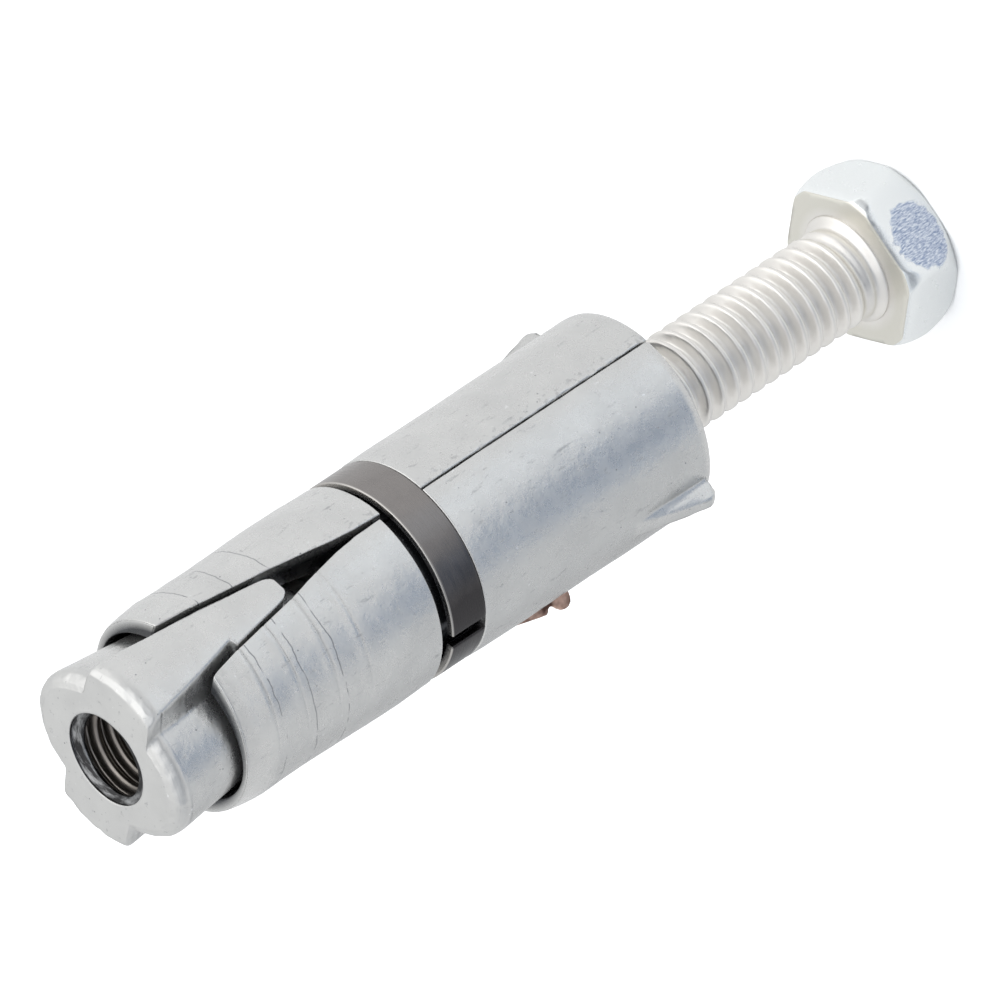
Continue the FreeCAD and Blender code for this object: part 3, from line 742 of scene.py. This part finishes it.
def build_shank(length, bearing, crest, depth):
    """Skin the shank: a rolled thread that fades below the head, a bevelled tip and a foot."""
    turns = even_turns(96)
    tip = bearing - length
    rings = [ring_at(tip + 0.10, 1.2, turns), ring_at(tip + 0.03, 2.4, turns)]
    for x in spaced(tip, bearing - 0.05, PITCH / 15.0, [tip + 0.03, tip + 0.1]):
        share = thread_depth(x, turns)
        fade = float(ramp(bearing - x, 0.9, 3.2))
        radius = crest - (0.10 + 0.12 * share) * (1.0 - fade) - depth * share * fade
        # Fillet under the head, and the bevel at the tip
        radius = radius + 0.68 * float(1.0 - ramp(bearing - x, 0.0, 0.75))
        radius = np.minimum(radius, crest - 0.85 + (x - tip) * 0.95)
        rings.append(ring_at(x, radius, turns))
    foot = rings[-1] * 0.9
    foot[:, 0] = bearing + 0.5
    return ring_mesh(rings + [foot], capped=True)


def build_head(flats, height, bearing):
    """Skin the head: a turned barrel trimmed by six flats, with soft edges between them."""
    around = even_turns(288)
    nearest = (around - FIRST_CORNER) % (math.pi / 3.0) - math.pi / 6.0
    rings = [ring_at(0.04, radius, around) for radius in (3.4, 3.9)]
    rings += [ring_at(0.0, radius, around) for radius in (4.3, 4.8, 5.3, 5.7)]
    soft = 0.018
    for level in spaced(0.0, height, 0.22, HEAD_PLACES):
        barrel = table(level, HEAD_BARREL)
        # The flats draw in toward the bearing face, where the head was pressed, and toward the top
        pressed = 0.26 * max(0.0, 1.0 - level / 1.15) ** 2
        drawn = 0.10 * max(0.0, (level - 4.6) / 0.56) ** 2
        flat = (flats - pressed - drawn) / np.cos(nearest)
        rings.append(ring_at(level, -soft * np.logaddexp(-flat / soft, -barrel / soft), around))
    rim = rings[-1]
    for share, drop in HEAD_TOP_RINGS:
        inner = rim * share
        inner[:, 0] = height - drop
        rings.append(inner)
    stack = np.stack(rings)
    out = stack.copy()
    out[..., 0] = 0.0
    out = out / np.maximum(np.linalg.norm(out, axis=-1, keepdims=True), 1e-6)
    wander = 0.012 * noise(stack, 1.6, 81) + 0.006 * noise(stack, 0.5, 82)
    stack = stack + out * wander[..., None]
    stack[..., 0] += bearing
    return ring_mesh(stack, capped=True)


def build_bolt(sizes, material):
    """Build the bolt of its shank and its head."""
    bearing = mm(sizes.stand_off)
    shank = build_shank(mm(sizes.length), bearing, mm(sizes.crest), mm(sizes.depth))
    head = build_head(mm(sizes.flats) / 2.0, mm(sizes.head_height), bearing)
    points, faces = join_skins([shank, head])
    return new_piece("bolt_plated", points, faces, "bolt", ["hex_bolt"], material)


# Colour and node helpers


def linear(code):
    """Turn an sRGB hex colour into the linear RGBA that the shader needs."""
    values = []
    for start in (1, 3, 5):
        share = int(code[start:start + 2], 16) / 255.0
        values.append(share / 12.92 if share <= 0.04045 else ((share + 0.055) / 1.055) ** 2.4)
    return (*values, 1.0)


def plug(tree, node, inputs):
    """Set the node's inputs from values, other nodes' outputs, or nodes, by their first output in use."""
    for socket, source in inputs.items():
        if isinstance(source, bpy.types.Node):
            source = next(output for output in source.outputs if output.enabled)
        if isinstance(source, bpy.types.NodeSocket):
            tree.links.new(source, node.inputs[socket])
        else:
            node.inputs[socket].default_value = source


def add_node(tree, kind, inputs=None, **settings):
    """Add a shader node with its settings and its inputs."""
    node = tree.nodes.new("ShaderNode" + kind)
    for key, value in settings.items():
        setattr(node, key, value)
    plug(tree, node, inputs or {})
    return node


def new_material(name):
    """Make an empty node material; return it with its tree, its shader and the place in millimetres."""
    material = bpy.data.materials.new(name)
    material.use_nodes = True
    tree = material.node_tree
    tree.nodes.clear()
    shader = add_node(tree, "BsdfPrincipled")
    add_node(tree, "OutputMaterial", {"Surface": shader})
    metres = add_node(tree, "TexCoord").outputs["Object"]
    place = add_node(tree, "VectorMath", {0: metres, 1: (1000.0, 1000.0, 1000.0)}, operation="MULTIPLY")
    return material, tree, shader, place


def from_axis(tree, place):
    """Distance from the anchor's axis."""
    level = add_node(tree, "VectorMath", {0: place, 1: (1.0, 1.0, 0.0)}, operation="MULTIPLY")
    return add_node(tree, "VectorMath", {0: level}, operation="LENGTH")


def along_view(tree, place, azimuth):
    """How far the place is from the axis toward an azimuth counted from the camera."""
    aim = tuple(toward(CAMERA_AZIMUTH + azimuth, 0.0))
    return add_node(tree, "VectorMath", {0: place, 1: aim}, operation="DOT_PRODUCT")


# Materials


def cast_marks(tree, place, patch):
    """Dark marks of the casting: scrapes along the axis, and pits in some patches."""
    stretched = add_node(tree, "VectorMath", {0: place, 1: (2.4, 2.4, 0.7)}, operation="MULTIPLY")
    streak = add_node(tree, "TexNoise", {"Vector": stretched, "Scale": 0.8, "Detail": 8.0, "Roughness": 0.7})
    scrape = add_node(tree, "MapRange", {"Value": streak, "From Min": 0.60, "From Max": 0.70})
    cells = add_node(tree, "TexVoronoi", {"Vector": place, "Scale": 1.6})
    pit = add_node(tree, "MapRange", {
        "Value": cells.outputs["Distance"], "From Min": 0.05, "From Max": 0.13, "To Min": 1.0, "To Max": 0.0})
    chosen = add_node(tree, "MapRange", {"Value": patch, "From Min": 0.57, "From Max": 0.63})
    pits = add_node(tree, "Math", {0: pit, 1: chosen}, operation="MULTIPLY")
    return add_node(tree, "Math", {0: scrape, 1: 0.45, 2: pits}, operation="MULTIPLY_ADD")


def hairlines(tree, place, patch):
    """Hairlines about 3.1 mm apart round the sleeve's front section, broken here and there."""
    height = add_node(tree, "SeparateXYZ", {0: place}).outputs["Z"]
    bend = add_node(tree, "TexNoise", {"Vector": place, "Scale": 0.45, "Detail": 3.0})
    bent = add_node(tree, "Math", {0: bend, 1: 0.7, 2: height}, operation="MULTIPLY_ADD")
    gap = add_node(tree, "Math", {0: bent, 1: 1.55}, operation="PINGPONG")
    hair = add_node(tree, "MapRange", {
        "Value": gap, "From Min": 0.02, "From Max": 0.06, "To Min": 0.8, "To Max": 0.0})
    front = add_node(tree, "Math", {0: height, 1: 39.5, 2: 5.2}, operation="COMPARE")
    unbroken = add_node(tree, "MapRange", {"Value": patch, "From Min": 0.40, "From Max": 0.46})
    there = add_node(tree, "Math", {0: front, 1: unbroken}, operation="MULTIPLY")
    return add_node(tree, "Math", {0: hair, 1: there}, operation="MULTIPLY")


def seam_pits(tree, place):
    """Pitted strip along the far half's side of the seam."""
    across = add_node(tree, "SeparateXYZ", {0: place}).outputs["Y"]
    strip = add_node(tree, "Math", {0: across, 1: 0.50, 2: 0.40}, operation="COMPARE")
    rubble = add_node(tree, "TexNoise", {"Vector": place, "Scale": 2.2, "Detail": 3.0})
    crumbs = add_node(tree, "MapRange", {"Value": rubble, "From Min": 0.56, "From Max": 0.62, "To Max": 0.25})
    return add_node(tree, "Math", {0: strip, 1: crumbs}, operation="MULTIPLY")


def zinc_casting(name, is_shell):
    """As-cast zinc alloy: pale satin metal with a fine sandy grain, scrapes and a few pits.

    The shell also has painted shade inside, darker toward the axis, and hairline marks in front.
    """
    material, tree, shader, place = new_material(name)
    # Faint clouds of the cast skin, about 3 mm wide
    cloud = add_node(tree, "TexNoise", {"Vector": place, "Scale": 0.35, "Detail": 3.0})
    tone = add_node(tree, "Mix", {
        "Factor": cloud, 6: linear("#c7c7c6"), 7: linear("#dadad8")}, data_type="RGBA")
    # Light flecks of 0.3 mm where the skin is rubbed
    speck = add_node(tree, "TexNoise", {"Vector": place, "Scale": 1.9, "Detail": 5.0, "Roughness": 0.65})
    fleck = add_node(tree, "MapRange", {"Value": speck, "From Min": 0.67, "From Max": 0.72, "To Max": 0.7})
    tone = add_node(tree, "Mix", {"Factor": fleck, 6: tone, 7: linear("#f2f3f4")}, data_type="RGBA")
    patch = add_node(tree, "TexNoise", {"Vector": place, "Scale": 0.5, "Detail": 2.0})
    marks = cast_marks(tree, place, patch)
    if is_shell:
        marks = add_node(tree, "Math", {0: hairlines(tree, place, patch), 1: marks}, operation="MAXIMUM")
        marks = add_node(tree, "Math", {0: seam_pits(tree, place), 1: marks}, operation="MAXIMUM")
        # Painted shade: the wall darkens toward the axis, so the seat, the bore and the groove floor come out
        # dark
        radius = from_axis(tree, place)
        inside = add_node(tree, "MapRange", {
            "Value": radius, "From Min": 7.15, "From Max": 7.85, "To Min": 0.92, "To Max": 0.0})
        tone = add_node(tree, "Mix", {"Factor": inside, 6: tone, 7: linear("#2f3238")}, data_type="RGBA")
    worn = add_node(tree, "Mix", {"Factor": marks, 6: tone, 7: linear("#77797d")}, data_type="RGBA")
    sheen = add_node(tree, "TexNoise", {"Vector": place, "Scale": 0.9, "Detail": 6.0, "Roughness": 0.65})
    rough = add_node(tree, "MapRange", {
        "Value": sheen, "From Min": 0.3, "From Max": 0.7, "To Min": 0.22, "To Max": 0.34})
    # The nut's front edge is duller
    height = add_node(tree, "SeparateXYZ", {0: place}).outputs["Z"]
    edge = add_node(tree, "MapRange", {"Value": height, "From Min": 51.7, "From Max": 52.3, "To Max": 0.14})
    # Sandy grain of about 0.2 mm on a swell of about 0.7 mm, with the marks sunk in
    sand = add_node(tree, "TexNoise", {"Vector": place, "Scale": 4.5, "Detail": 6.0, "Roughness": 0.7})
    swell = add_node(tree, "TexNoise", {"Vector": place, "Scale": 1.4, "Detail": 3.0})
    grain = add_node(tree, "Math", {0: swell, 1: 2.0, 2: sand}, operation="MULTIPLY_ADD")
    relief = add_node(tree, "Math", {0: marks, 1: -0.9, 2: grain}, operation="MULTIPLY_ADD")
    plug(tree, shader, {
        "Base Color": worn,
        "Metallic": 0.9,
        "Roughness": add_node(tree, "Math", {0: rough, 1: edge}, operation="ADD"),
        "Normal": add_node(tree, "Bump", {"Height": relief, "Strength": 0.30, "Distance": 0.00006}),
    })
    return material


def tapped_zinc():
    """Tapped thread in the nut: smooth metal in painted shade, darker than the casting, and streaked where
    the tap went in.
    """
    material, tree, shader, place = new_material("tapped_zinc_painted_shade")
    # Painted shade: the thread's tone is darker than the casting's, as shade in the hole
    cloud = add_node(tree, "TexNoise", {"Vector": place, "Scale": 0.8, "Detail": 3.0})
    tone = add_node(tree, "Mix", {
        "Factor": cloud, 6: linear("#69635f"), 7: linear("#9b9690")}, data_type="RGBA")
    # Streaks round the hole's mouth, about 0.2 mm apart
    squeezed = add_node(tree, "VectorMath", {0: place, 1: (0.5, 0.5, 5.0)}, operation="MULTIPLY")
    streak = add_node(tree, "TexNoise", {"Vector": squeezed, "Scale": 1.0, "Detail": 5.0, "Roughness": 0.7})
    light = add_node(tree, "MapRange", {"Value": streak, "From Min": 0.45, "From Max": 0.68})
    mouth = add_node(tree, "Mix", {
        "Factor": light, 6: linear("#3a3a3b"), 7: linear("#a5a6a7")}, data_type="RGBA")
    height = add_node(tree, "SeparateXYZ", {0: place}).outputs["Z"]
    near_mouth = add_node(tree, "MapRange", {"Value": height, "From Min": 51.7, "From Max": 52.2})
    plug(tree, shader, {
        "Base Color": add_node(tree, "Mix", {"Factor": near_mouth, 6: tone, 7: mouth}, data_type="RGBA"),
        "Metallic": 1.0,
        "Roughness": 0.28,
    })
    return material


def gate_metal():
    """Torn end of the casting gate: the same zinc, rough, in painted brown shade and painted brown
    reflection.
    """
    material, tree, shader, place = new_material("zinc_break_painted_brown_shade")
    # Painted shade and painted brown reflection, from dark brown to tan in clouds
    brown_shade_noise = add_node(tree, "TexNoise", {"Vector": place, "Scale": 0.55, "Detail": 3.0})
    tone = add_node(tree, "ValToRGB", {"Fac": brown_shade_noise})
    stops = tone.color_ramp.elements
    for stop, (position, code) in zip(stops, ((0.42, "#54392f"), (0.58, "#c9a898"))):
        stop.position = position
        stop.color = linear(code)
    crumbs = add_node(tree, "TexNoise", {"Vector": place, "Scale": 4.0, "Detail": 4.0})
    plug(tree, shader, {
        "Base Color": tone,
        "Metallic": 0.6,
        "Roughness": 0.5,
        "Normal": add_node(tree, "Bump", {"Height": crumbs, "Strength": 0.5, "Distance": 0.0001}),
    })
    return material


def band_steel():
    """Dark rolled steel strip: brownish gunmetal, faint rolling marks, painted light and shade across it and
    a painted highlight on its front edge.
    """
    material, tree, shader, place = new_material("dark_rolled_steel")
    # Painted light and shade: lighter toward one side as seen from the camera and darker on the other, in
    # clouds
    cloud = add_node(tree, "TexNoise", {"Vector": place, "Scale": 0.5, "Detail": 4.0})
    side = along_view(tree, place, 50.0)
    cloud_and_lit_side = add_node(tree, "Math", {0: cloud, 1: 3.0, 2: side}, operation="MULTIPLY_ADD")
    painted_side_light = add_node(tree, "MapRange", {"Value": cloud_and_lit_side, "From Min": 2.0, "From Max": 9.5})
    tone = add_node(tree, "Mix", {
        "Factor": painted_side_light, 6: linear("#464445"), 7: linear("#8d8987")}, data_type="RGBA")
    # Painted highlight: the strip's rounded front edge is lightened in colour
    height = add_node(tree, "SeparateXYZ", {0: place}).outputs["Z"]
    front_highlight_mask = add_node(tree, "MapRange", {"Value": height, "From Min": 26.16, "From Max": 26.25, "To Max": 0.75})
    painted_front_highlight = add_node(tree, "Mix", {"Factor": front_highlight_mask, 6: tone, 7: linear("#c9c6c2")}, data_type="RGBA")
    # Rolling marks round the strip, about 0.2 mm apart
    stretched = add_node(tree, "VectorMath", {0: place, 1: (0.4, 0.4, 6.0)}, operation="MULTIPLY")
    lines = add_node(tree, "TexNoise", {"Vector": stretched, "Scale": 1.0, "Detail": 4.0})
    plug(tree, shader, {
        "Base Color": painted_front_highlight,
        "Metallic": 1.0,
        "Roughness": add_node(tree, "MapRange", {
            "Value": lines, "From Min": 0.3, "From Max": 0.7, "To Min": 0.22, "To Max": 0.32}),
        "Normal": add_node(tree, "Bump", {"Height": lines, "Strength": 0.12, "Distance": 0.00003}),
    })
    return material


def scraped_spot(tree, place):
    """Where one flat of the head is scraped: a ragged oval 4.8 mm wide and 3.6 mm high."""
    height = add_node(tree, "SeparateXYZ", {0: place}).outputs["Z"]
    local = add_node(tree, "CombineXYZ", {0: along_view(tree, place, 90.0), 1: height})
    centred = add_node(tree, "VectorMath", {0: local, 1: (0.85, 24.7, 0.0)}, operation="ADD")
    shrunk = add_node(tree, "VectorMath", {0: centred, 1: (2.9, 2.15, 1.0)}, operation="DIVIDE")
    reach = add_node(tree, "VectorMath", {0: shrunk}, operation="LENGTH")
    frayed = add_node(tree, "TexNoise", {"Vector": place, "Scale": 1.5, "Detail": 5.0})
    border = add_node(tree, "Math", {0: frayed, 1: 0.5, 2: reach}, operation="MULTIPLY_ADD")
    spot = add_node(tree, "MapRange", {
        "Value": border, "From Min": 1.16, "From Max": 1.24, "To Min": 1.0, "To Max": 0.0})
    front = add_node(tree, "Math", {0: along_view(tree, place, 0.0), 1: 6.0}, operation="GREATER_THAN")
    return add_node(tree, "Math", {0: spot, 1: front}, operation="MULTIPLY")


def plated_steel():
    """Bright zinc plating on a cold-headed bolt: pale silver with a painted brighter head, one flat scraped
    dull with a painted bluish reflection.
    """
    material, tree, shader, place = new_material("bright_zinc_plating")
    cloud = add_node(tree, "TexNoise", {"Vector": place, "Scale": 0.45, "Detail": 4.0})
    tone = add_node(tree, "Mix", {
        "Factor": cloud, 6: linear("#e3e0db"), 7: linear("#f2f0ec")}, data_type="RGBA")
    scraped = scraped_spot(tree, place)
    # Streaks of the scraping along the axis, 0.25 mm apart
    stretched = add_node(tree, "VectorMath", {0: place, 1: (4.0, 4.0, 1.0)}, operation="MULTIPLY")
    streak = add_node(tree, "TexNoise", {"Vector": stretched, "Scale": 2.6, "Detail": 6.0, "Roughness": 0.7})
    scored = add_node(tree, "MapRange", {"Value": streak, "From Min": 0.40, "From Max": 0.60})
    # The scraped spot is dull and streaked along the axis; its bluish tone is painted reflection
    shade = add_node(tree, "Mix", {
        "Factor": scored, 6: linear("#92a3c2"), 7: linear("#eef3fa")}, data_type="RGBA")
    # Yellowish tint on the bearing face, and on the head's sides a colder tone, brightened as painted
    # reflection
    height = add_node(tree, "SeparateXYZ", {0: place}).outputs["Z"]
    above = add_node(tree, "Math", {0: height, 1: -22.0}, operation="GREATER_THAN")
    outer = add_node(tree, "MapRange", {"Value": from_axis(tree, place), "From Min": 4.3, "From Max": 5.2})
    face = add_node(tree, "Math", {0: outer, 1: above}, operation="MULTIPLY")
    cold = add_node(tree, "Mix", {"Factor": above, 6: linear("#f6f9f9"), 7: tone}, data_type="RGBA")
    tinted = add_node(tree, "Mix", {"Factor": face, 6: cold, 7: linear("#dfddd4")}, data_type="RGBA")
    # The shank is more satin than the head, and the scraped spot is dull
    grain = add_node(tree, "TexNoise", {"Vector": place, "Scale": 2.5, "Detail": 5.0})
    gloss = add_node(tree, "MapRange", {
        "Value": grain, "From Min": 0.3, "From Max": 0.7, "To Min": 0.16, "To Max": 0.28})
    satin = add_node(tree, "Math", {0: above, 1: 0.12, 2: gloss}, operation="MULTIPLY_ADD")
    etched = add_node(tree, "Math", {0: streak, 1: scraped}, operation="MULTIPLY")
    relief = add_node(tree, "Math", {0: etched, 1: 4.0, 2: grain}, operation="MULTIPLY_ADD")
    plug(tree, shader, {
        "Base Color": add_node(tree, "Mix", {"Factor": scraped, 6: tinted, 7: shade}, data_type="RGBA"),
        "Metallic": 0.85,
        "Roughness": add_node(tree, "Mix", {0: scraped, 2: satin, 3: 0.45}),
        "Normal": add_node(tree, "Bump", {"Height": relief, "Strength": 0.15, "Distance": 0.00004}),
    })
    return material


# Stage

# Cards on the floor: name, rise above it in metres, near and far reach, azimuths from the camera, tone.
# The first two give the rear section its dark streak, and the two far ones do it for the front section.
CARDS = (
    ("wide_card", 0.00002, 0.042, 0.090, -2.0, -50.0, (0.535, 0.605, 0.71, 1.0)),
    ("narrow_card", 0.00004, 0.042, 0.090, -13.0, -39.0, (0.30, 0.355, 0.45, 1.0)),
    ("far_wide_card", 0.00002, 0.090, 0.150, -18.0, -66.0, (0.55, 0.615, 0.71, 1.0)),
    ("far_narrow_card", 0.00004, 0.090, 0.150, -30.0, -54.0, (0.38, 0.435, 0.53, 1.0)),
    ("bright_card", 0.00002, 0.042, 0.150, 4.0, 34.0, (0.93, 0.965, 1.0, 1.0)),
    ("low_card", 0.00003, 0.042, 0.150, -50.0, -120.0, (0.69, 0.70, 0.71, 1.0)),
    ("under_card", 0.00002, 0.042, 0.150, -115.0, -177.0, (0.58, 0.585, 0.59, 1.0)),
)
# Soft boxes: name, azimuth from the camera and height in degrees, distance, size, watts
LIGHTS = (
    ("left", 95.0, 38.0, 0.45, 0.45, 0.17),
    ("left_floor", 75.0, 46.0, 0.30, 0.36, 0.10),
    ("front", 15.0, 58.0, 0.45, 0.60, 0.5),
)
# Sides of the sky with a tint: azimuth from the camera, share at which the tint starts, tint
SKY_SIDES = ((-35.0, 0.0, (0.42, 0.455, 0.51, 1.0)), (180.0, 0.1, (0.78, 0.79, 0.80, 1.0)))
WHITE = (1.0, 1.0, 1.0, 1.0)


def paper(name, tone):
    """Matt paper that the camera sees as white and all other rays see in its own tone."""
    material = bpy.data.materials.new(name)
    material.use_nodes = True
    tree = material.node_tree
    tree.nodes.clear()
    path = add_node(tree, "LightPath")
    seen = add_node(tree, "Mix", {
        "Factor": path.outputs["Is Camera Ray"], 6: tone, 7: (1.25, 1.25, 1.25, 1.0)}, data_type="RGBA")
    matt = add_node(tree, "BsdfDiffuse", {"Color": seen})
    add_node(tree, "OutputMaterial", {"Surface": matt})
    return material


def lay_sheet(scene, name, corners, material):
    """Lay one flat sheet of the stage."""
    mesh = bpy.data.meshes.new(name)
    mesh.from_pydata(corners, [], [(0, 1, 2, 3)])
    sheet = bpy.data.objects.new(name, mesh)
    scene.collection.objects.link(sheet)
    mesh.materials.append(material)


def build_floor(scene):
    """Lay the pale floor under the bolt's head, and cards on it that give the metal its streaks."""
    corners = [(x, y, FLOOR_LEVEL) for x, y in ((-3.0, -3.0), (3.0, -3.0), (3.0, 3.0), (-3.0, 3.0))]
    lay_sheet(scene, "floor", corners, paper("white_paper", (0.86, 0.86, 0.86, 1.0)))
    for name, rise, close, far, start, stop, tone in CARDS:
        corners = []
        for reach, azimuth in ((close, start), (close, stop), (far, stop), (far, start)):
            corner = toward(CAMERA_AZIMUTH + azimuth, 0.0) * reach
            corners.append((corner.x, corner.y, FLOOR_LEVEL + rise))
        lay_sheet(scene, name, corners, paper(name.replace("card", "board"), tone))


def build_camera(scene):
    """Set the camera where the photograph's stood, far off with a long lens."""
    back = toward(CAMERA_AZIMUTH, CAMERA_HEIGHT)
    level_up = (Vector((0.0, 0.0, 1.0)) - back * back.z).normalized()
    level_right = level_up.cross(back)
    roll = math.radians(CAMERA_ROLL)
    right = level_right * math.cos(roll) - level_up * math.sin(roll)
    up = level_right * math.sin(roll) + level_up * math.cos(roll)
    focus = Vector((0.0, 0.0, VIEW_MIDDLE)) - up * 0.00008
    data = bpy.data.cameras.new("camera")
    data.lens = LENS
    data.sensor_width = SENSOR
    data.clip_start = 0.01
    data.clip_end = 100.0
    distance = VIEW_WIDTH * LENS / SENSOR
    camera = bpy.data.objects.new("camera", data)
    turn = Matrix((right, up, back)).transposed().to_4x4()
    camera.matrix_world = Matrix.Translation(focus + back * distance) @ turn
    scene.collection.objects.link(camera)
    scene.camera = camera


def build_lights(scene):
    """Hang the soft boxes round the anchor."""
    for name, azimuth, height, distance, size, power in LIGHTS:
        data = bpy.data.lights.new(name, "AREA")
        data.shape = "RECTANGLE"
        data.size = size
        data.size_y = size
        data.energy = power
        lamp = bpy.data.objects.new(name, data)
        aim = toward(CAMERA_AZIMUTH + azimuth, height)
        lamp.location = Vector((0.0, 0.0, 0.01)) + aim * distance
        lamp.rotation_euler = (-aim).to_track_quat("-Z", "Y").to_euler()
        scene.collection.objects.link(lamp)


def build_world(scene):
    """Surround the anchor with a pale studio, darker and bluer on the right and darker at the back."""
    world = bpy.data.worlds.new("studio")
    scene.world = world
    world.use_nodes = True
    tree = world.node_tree
    tree.nodes.clear()
    place = add_node(tree, "TexCoord").outputs["Generated"]
    sky = WHITE
    for azimuth, start, tint in SKY_SIDES:
        side = add_node(tree, "MapRange", {"Value": along_view(tree, place, azimuth), "From Min": start})
        sky = add_node(tree, "Mix", {"Factor": side, 6: sky, 7: tint}, data_type="RGBA")
    # Dark strip low in the sky behind the camera, which draws the rounded edges
    height = add_node(tree, "SeparateXYZ", {0: place}).outputs["Z"]
    strip = add_node(tree, "Math", {0: height, 1: 0.17, 2: 0.09}, operation="COMPARE")
    behind = add_node(tree, "MapRange", {
        "Value": along_view(tree, place, 0.0), "From Min": 0.3, "From Max": 0.6, "To Max": 0.95})
    dark = add_node(tree, "Math", {0: strip, 1: behind}, operation="MULTIPLY")
    sky = add_node(tree, "Mix", {"Factor": dark, 6: sky, 7: (0.10, 0.11, 0.13, 1.0)}, data_type="RGBA")
    glow = add_node(tree, "Background", {"Color": sky, "Strength": 1.06})
    # The camera itself sees plain white
    white = add_node(tree, "Background", {"Color": WHITE, "Strength": 1.0})
    path = add_node(tree, "LightPath")
    mix = add_node(tree, "MixShader", {0: path.outputs["Is Camera Ray"], 1: glow, 2: white})
    add_node(tree, "OutputWorld", {"Surface": mix})


def build_stage(scene):
    """Pale floor, soft lights, even surroundings and the camera of the photograph."""
    scene.view_settings.view_transform = "Standard"
    build_floor(scene)
    build_camera(scene)
    build_lights(scene)
    build_world(scene)


# Operators and panel


class ANCHOR_OT_sleeve(bpy.types.Operator):
    """Build both halves of the sleeve and the gate stub"""

    bl_idname = "anchor.sleeve"
    bl_label = "Sleeve"

    def execute(self, context):
        sizes = context.scene.anchor_sizes.sleeve
        material = zinc_casting("as_cast_zinc_shell", True)
        build_half(sizes, True, material)
        build_half(sizes, False, material)
        build_gate(gate_metal())
        return {"FINISHED"}


class ANCHOR_OT_nut(bpy.types.Operator):
    """Build the cone nut and the thread in its hole"""

    bl_idname = "anchor.nut"
    bl_label = "Cone nut"

    def execute(self, context):
        sizes = context.scene.anchor_sizes.nut
        build_nut(sizes, zinc_casting("as_cast_zinc_nut", False))
        build_nut_thread(sizes, tapped_zinc())
        return {"FINISHED"}


class ANCHOR_OT_band(bpy.types.Operator):
    """Build the retaining band"""

    bl_idname = "anchor.band"
    bl_label = "Retaining band"

    def execute(self, context):
        build_band(context.scene.anchor_sizes.band, band_steel())
        return {"FINISHED"}


class ANCHOR_OT_bolt(bpy.types.Operator):
    """Build the bolt with its thread and head"""

    bl_idname = "anchor.bolt"
    bl_label = "Bolt"

    def execute(self, context):
        build_bolt(context.scene.anchor_sizes.bolt, plated_steel())
        return {"FINISHED"}


class ANCHOR_OT_stage(bpy.types.Operator):
    """Set up the floor, the lights, the world and the camera"""

    bl_idname = "anchor.stage"
    bl_label = "Stage"

    def execute(self, context):
        build_stage(context.scene)
        return {"FINISHED"}


class ANCHOR_PT_panel(bpy.types.Panel):
    """Sidebar panel with the sizes and the operators"""

    bl_idname = "ANCHOR_PT_panel"
    bl_label = "Expansion shield"
    bl_space_type = "VIEW_3D"
    bl_region_type = "UI"
    bl_category = "Anchor"

    def draw(self, context):
        sizes = context.scene.anchor_sizes
        for piece in ("sleeve", "nut", "band", "bolt"):
            group = getattr(sizes, piece)
            box = self.layout.box()
            for name in group.bl_rna.properties.keys():
                if name not in ("rna_type", "name"):
                    box.prop(group, name)
            box.operator("anchor." + piece)
        self.layout.operator("anchor.stage")


CLASSES = (SleeveSizes, NutSizes, BandSizes, BoltSizes, AnchorSizes, ANCHOR_OT_sleeve, ANCHOR_OT_nut,
           ANCHOR_OT_band, ANCHOR_OT_bolt, ANCHOR_OT_stage, ANCHOR_PT_panel)


def register():
    """Register the classes and the sizes on the scene."""
    for item in CLASSES:
        bpy.utils.register_class(item)
    bpy.types.Scene.anchor_sizes = bpy.props.PointerProperty(type=AnchorSizes)


def unregister():
    """Take the classes and the sizes away again."""
    del bpy.types.Scene.anchor_sizes
    for item in reversed(CLASSES):
        bpy.utils.unregister_class(item)


def main():
    """Register the classes and build everything."""
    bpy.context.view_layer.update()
    register()
    bpy.ops.anchor.sleeve()
    bpy.ops.anchor.nut()
    bpy.ops.anchor.band()
    bpy.ops.anchor.bolt()
    bpy.ops.anchor.stage()


if __name__ == "__main__":
    main()
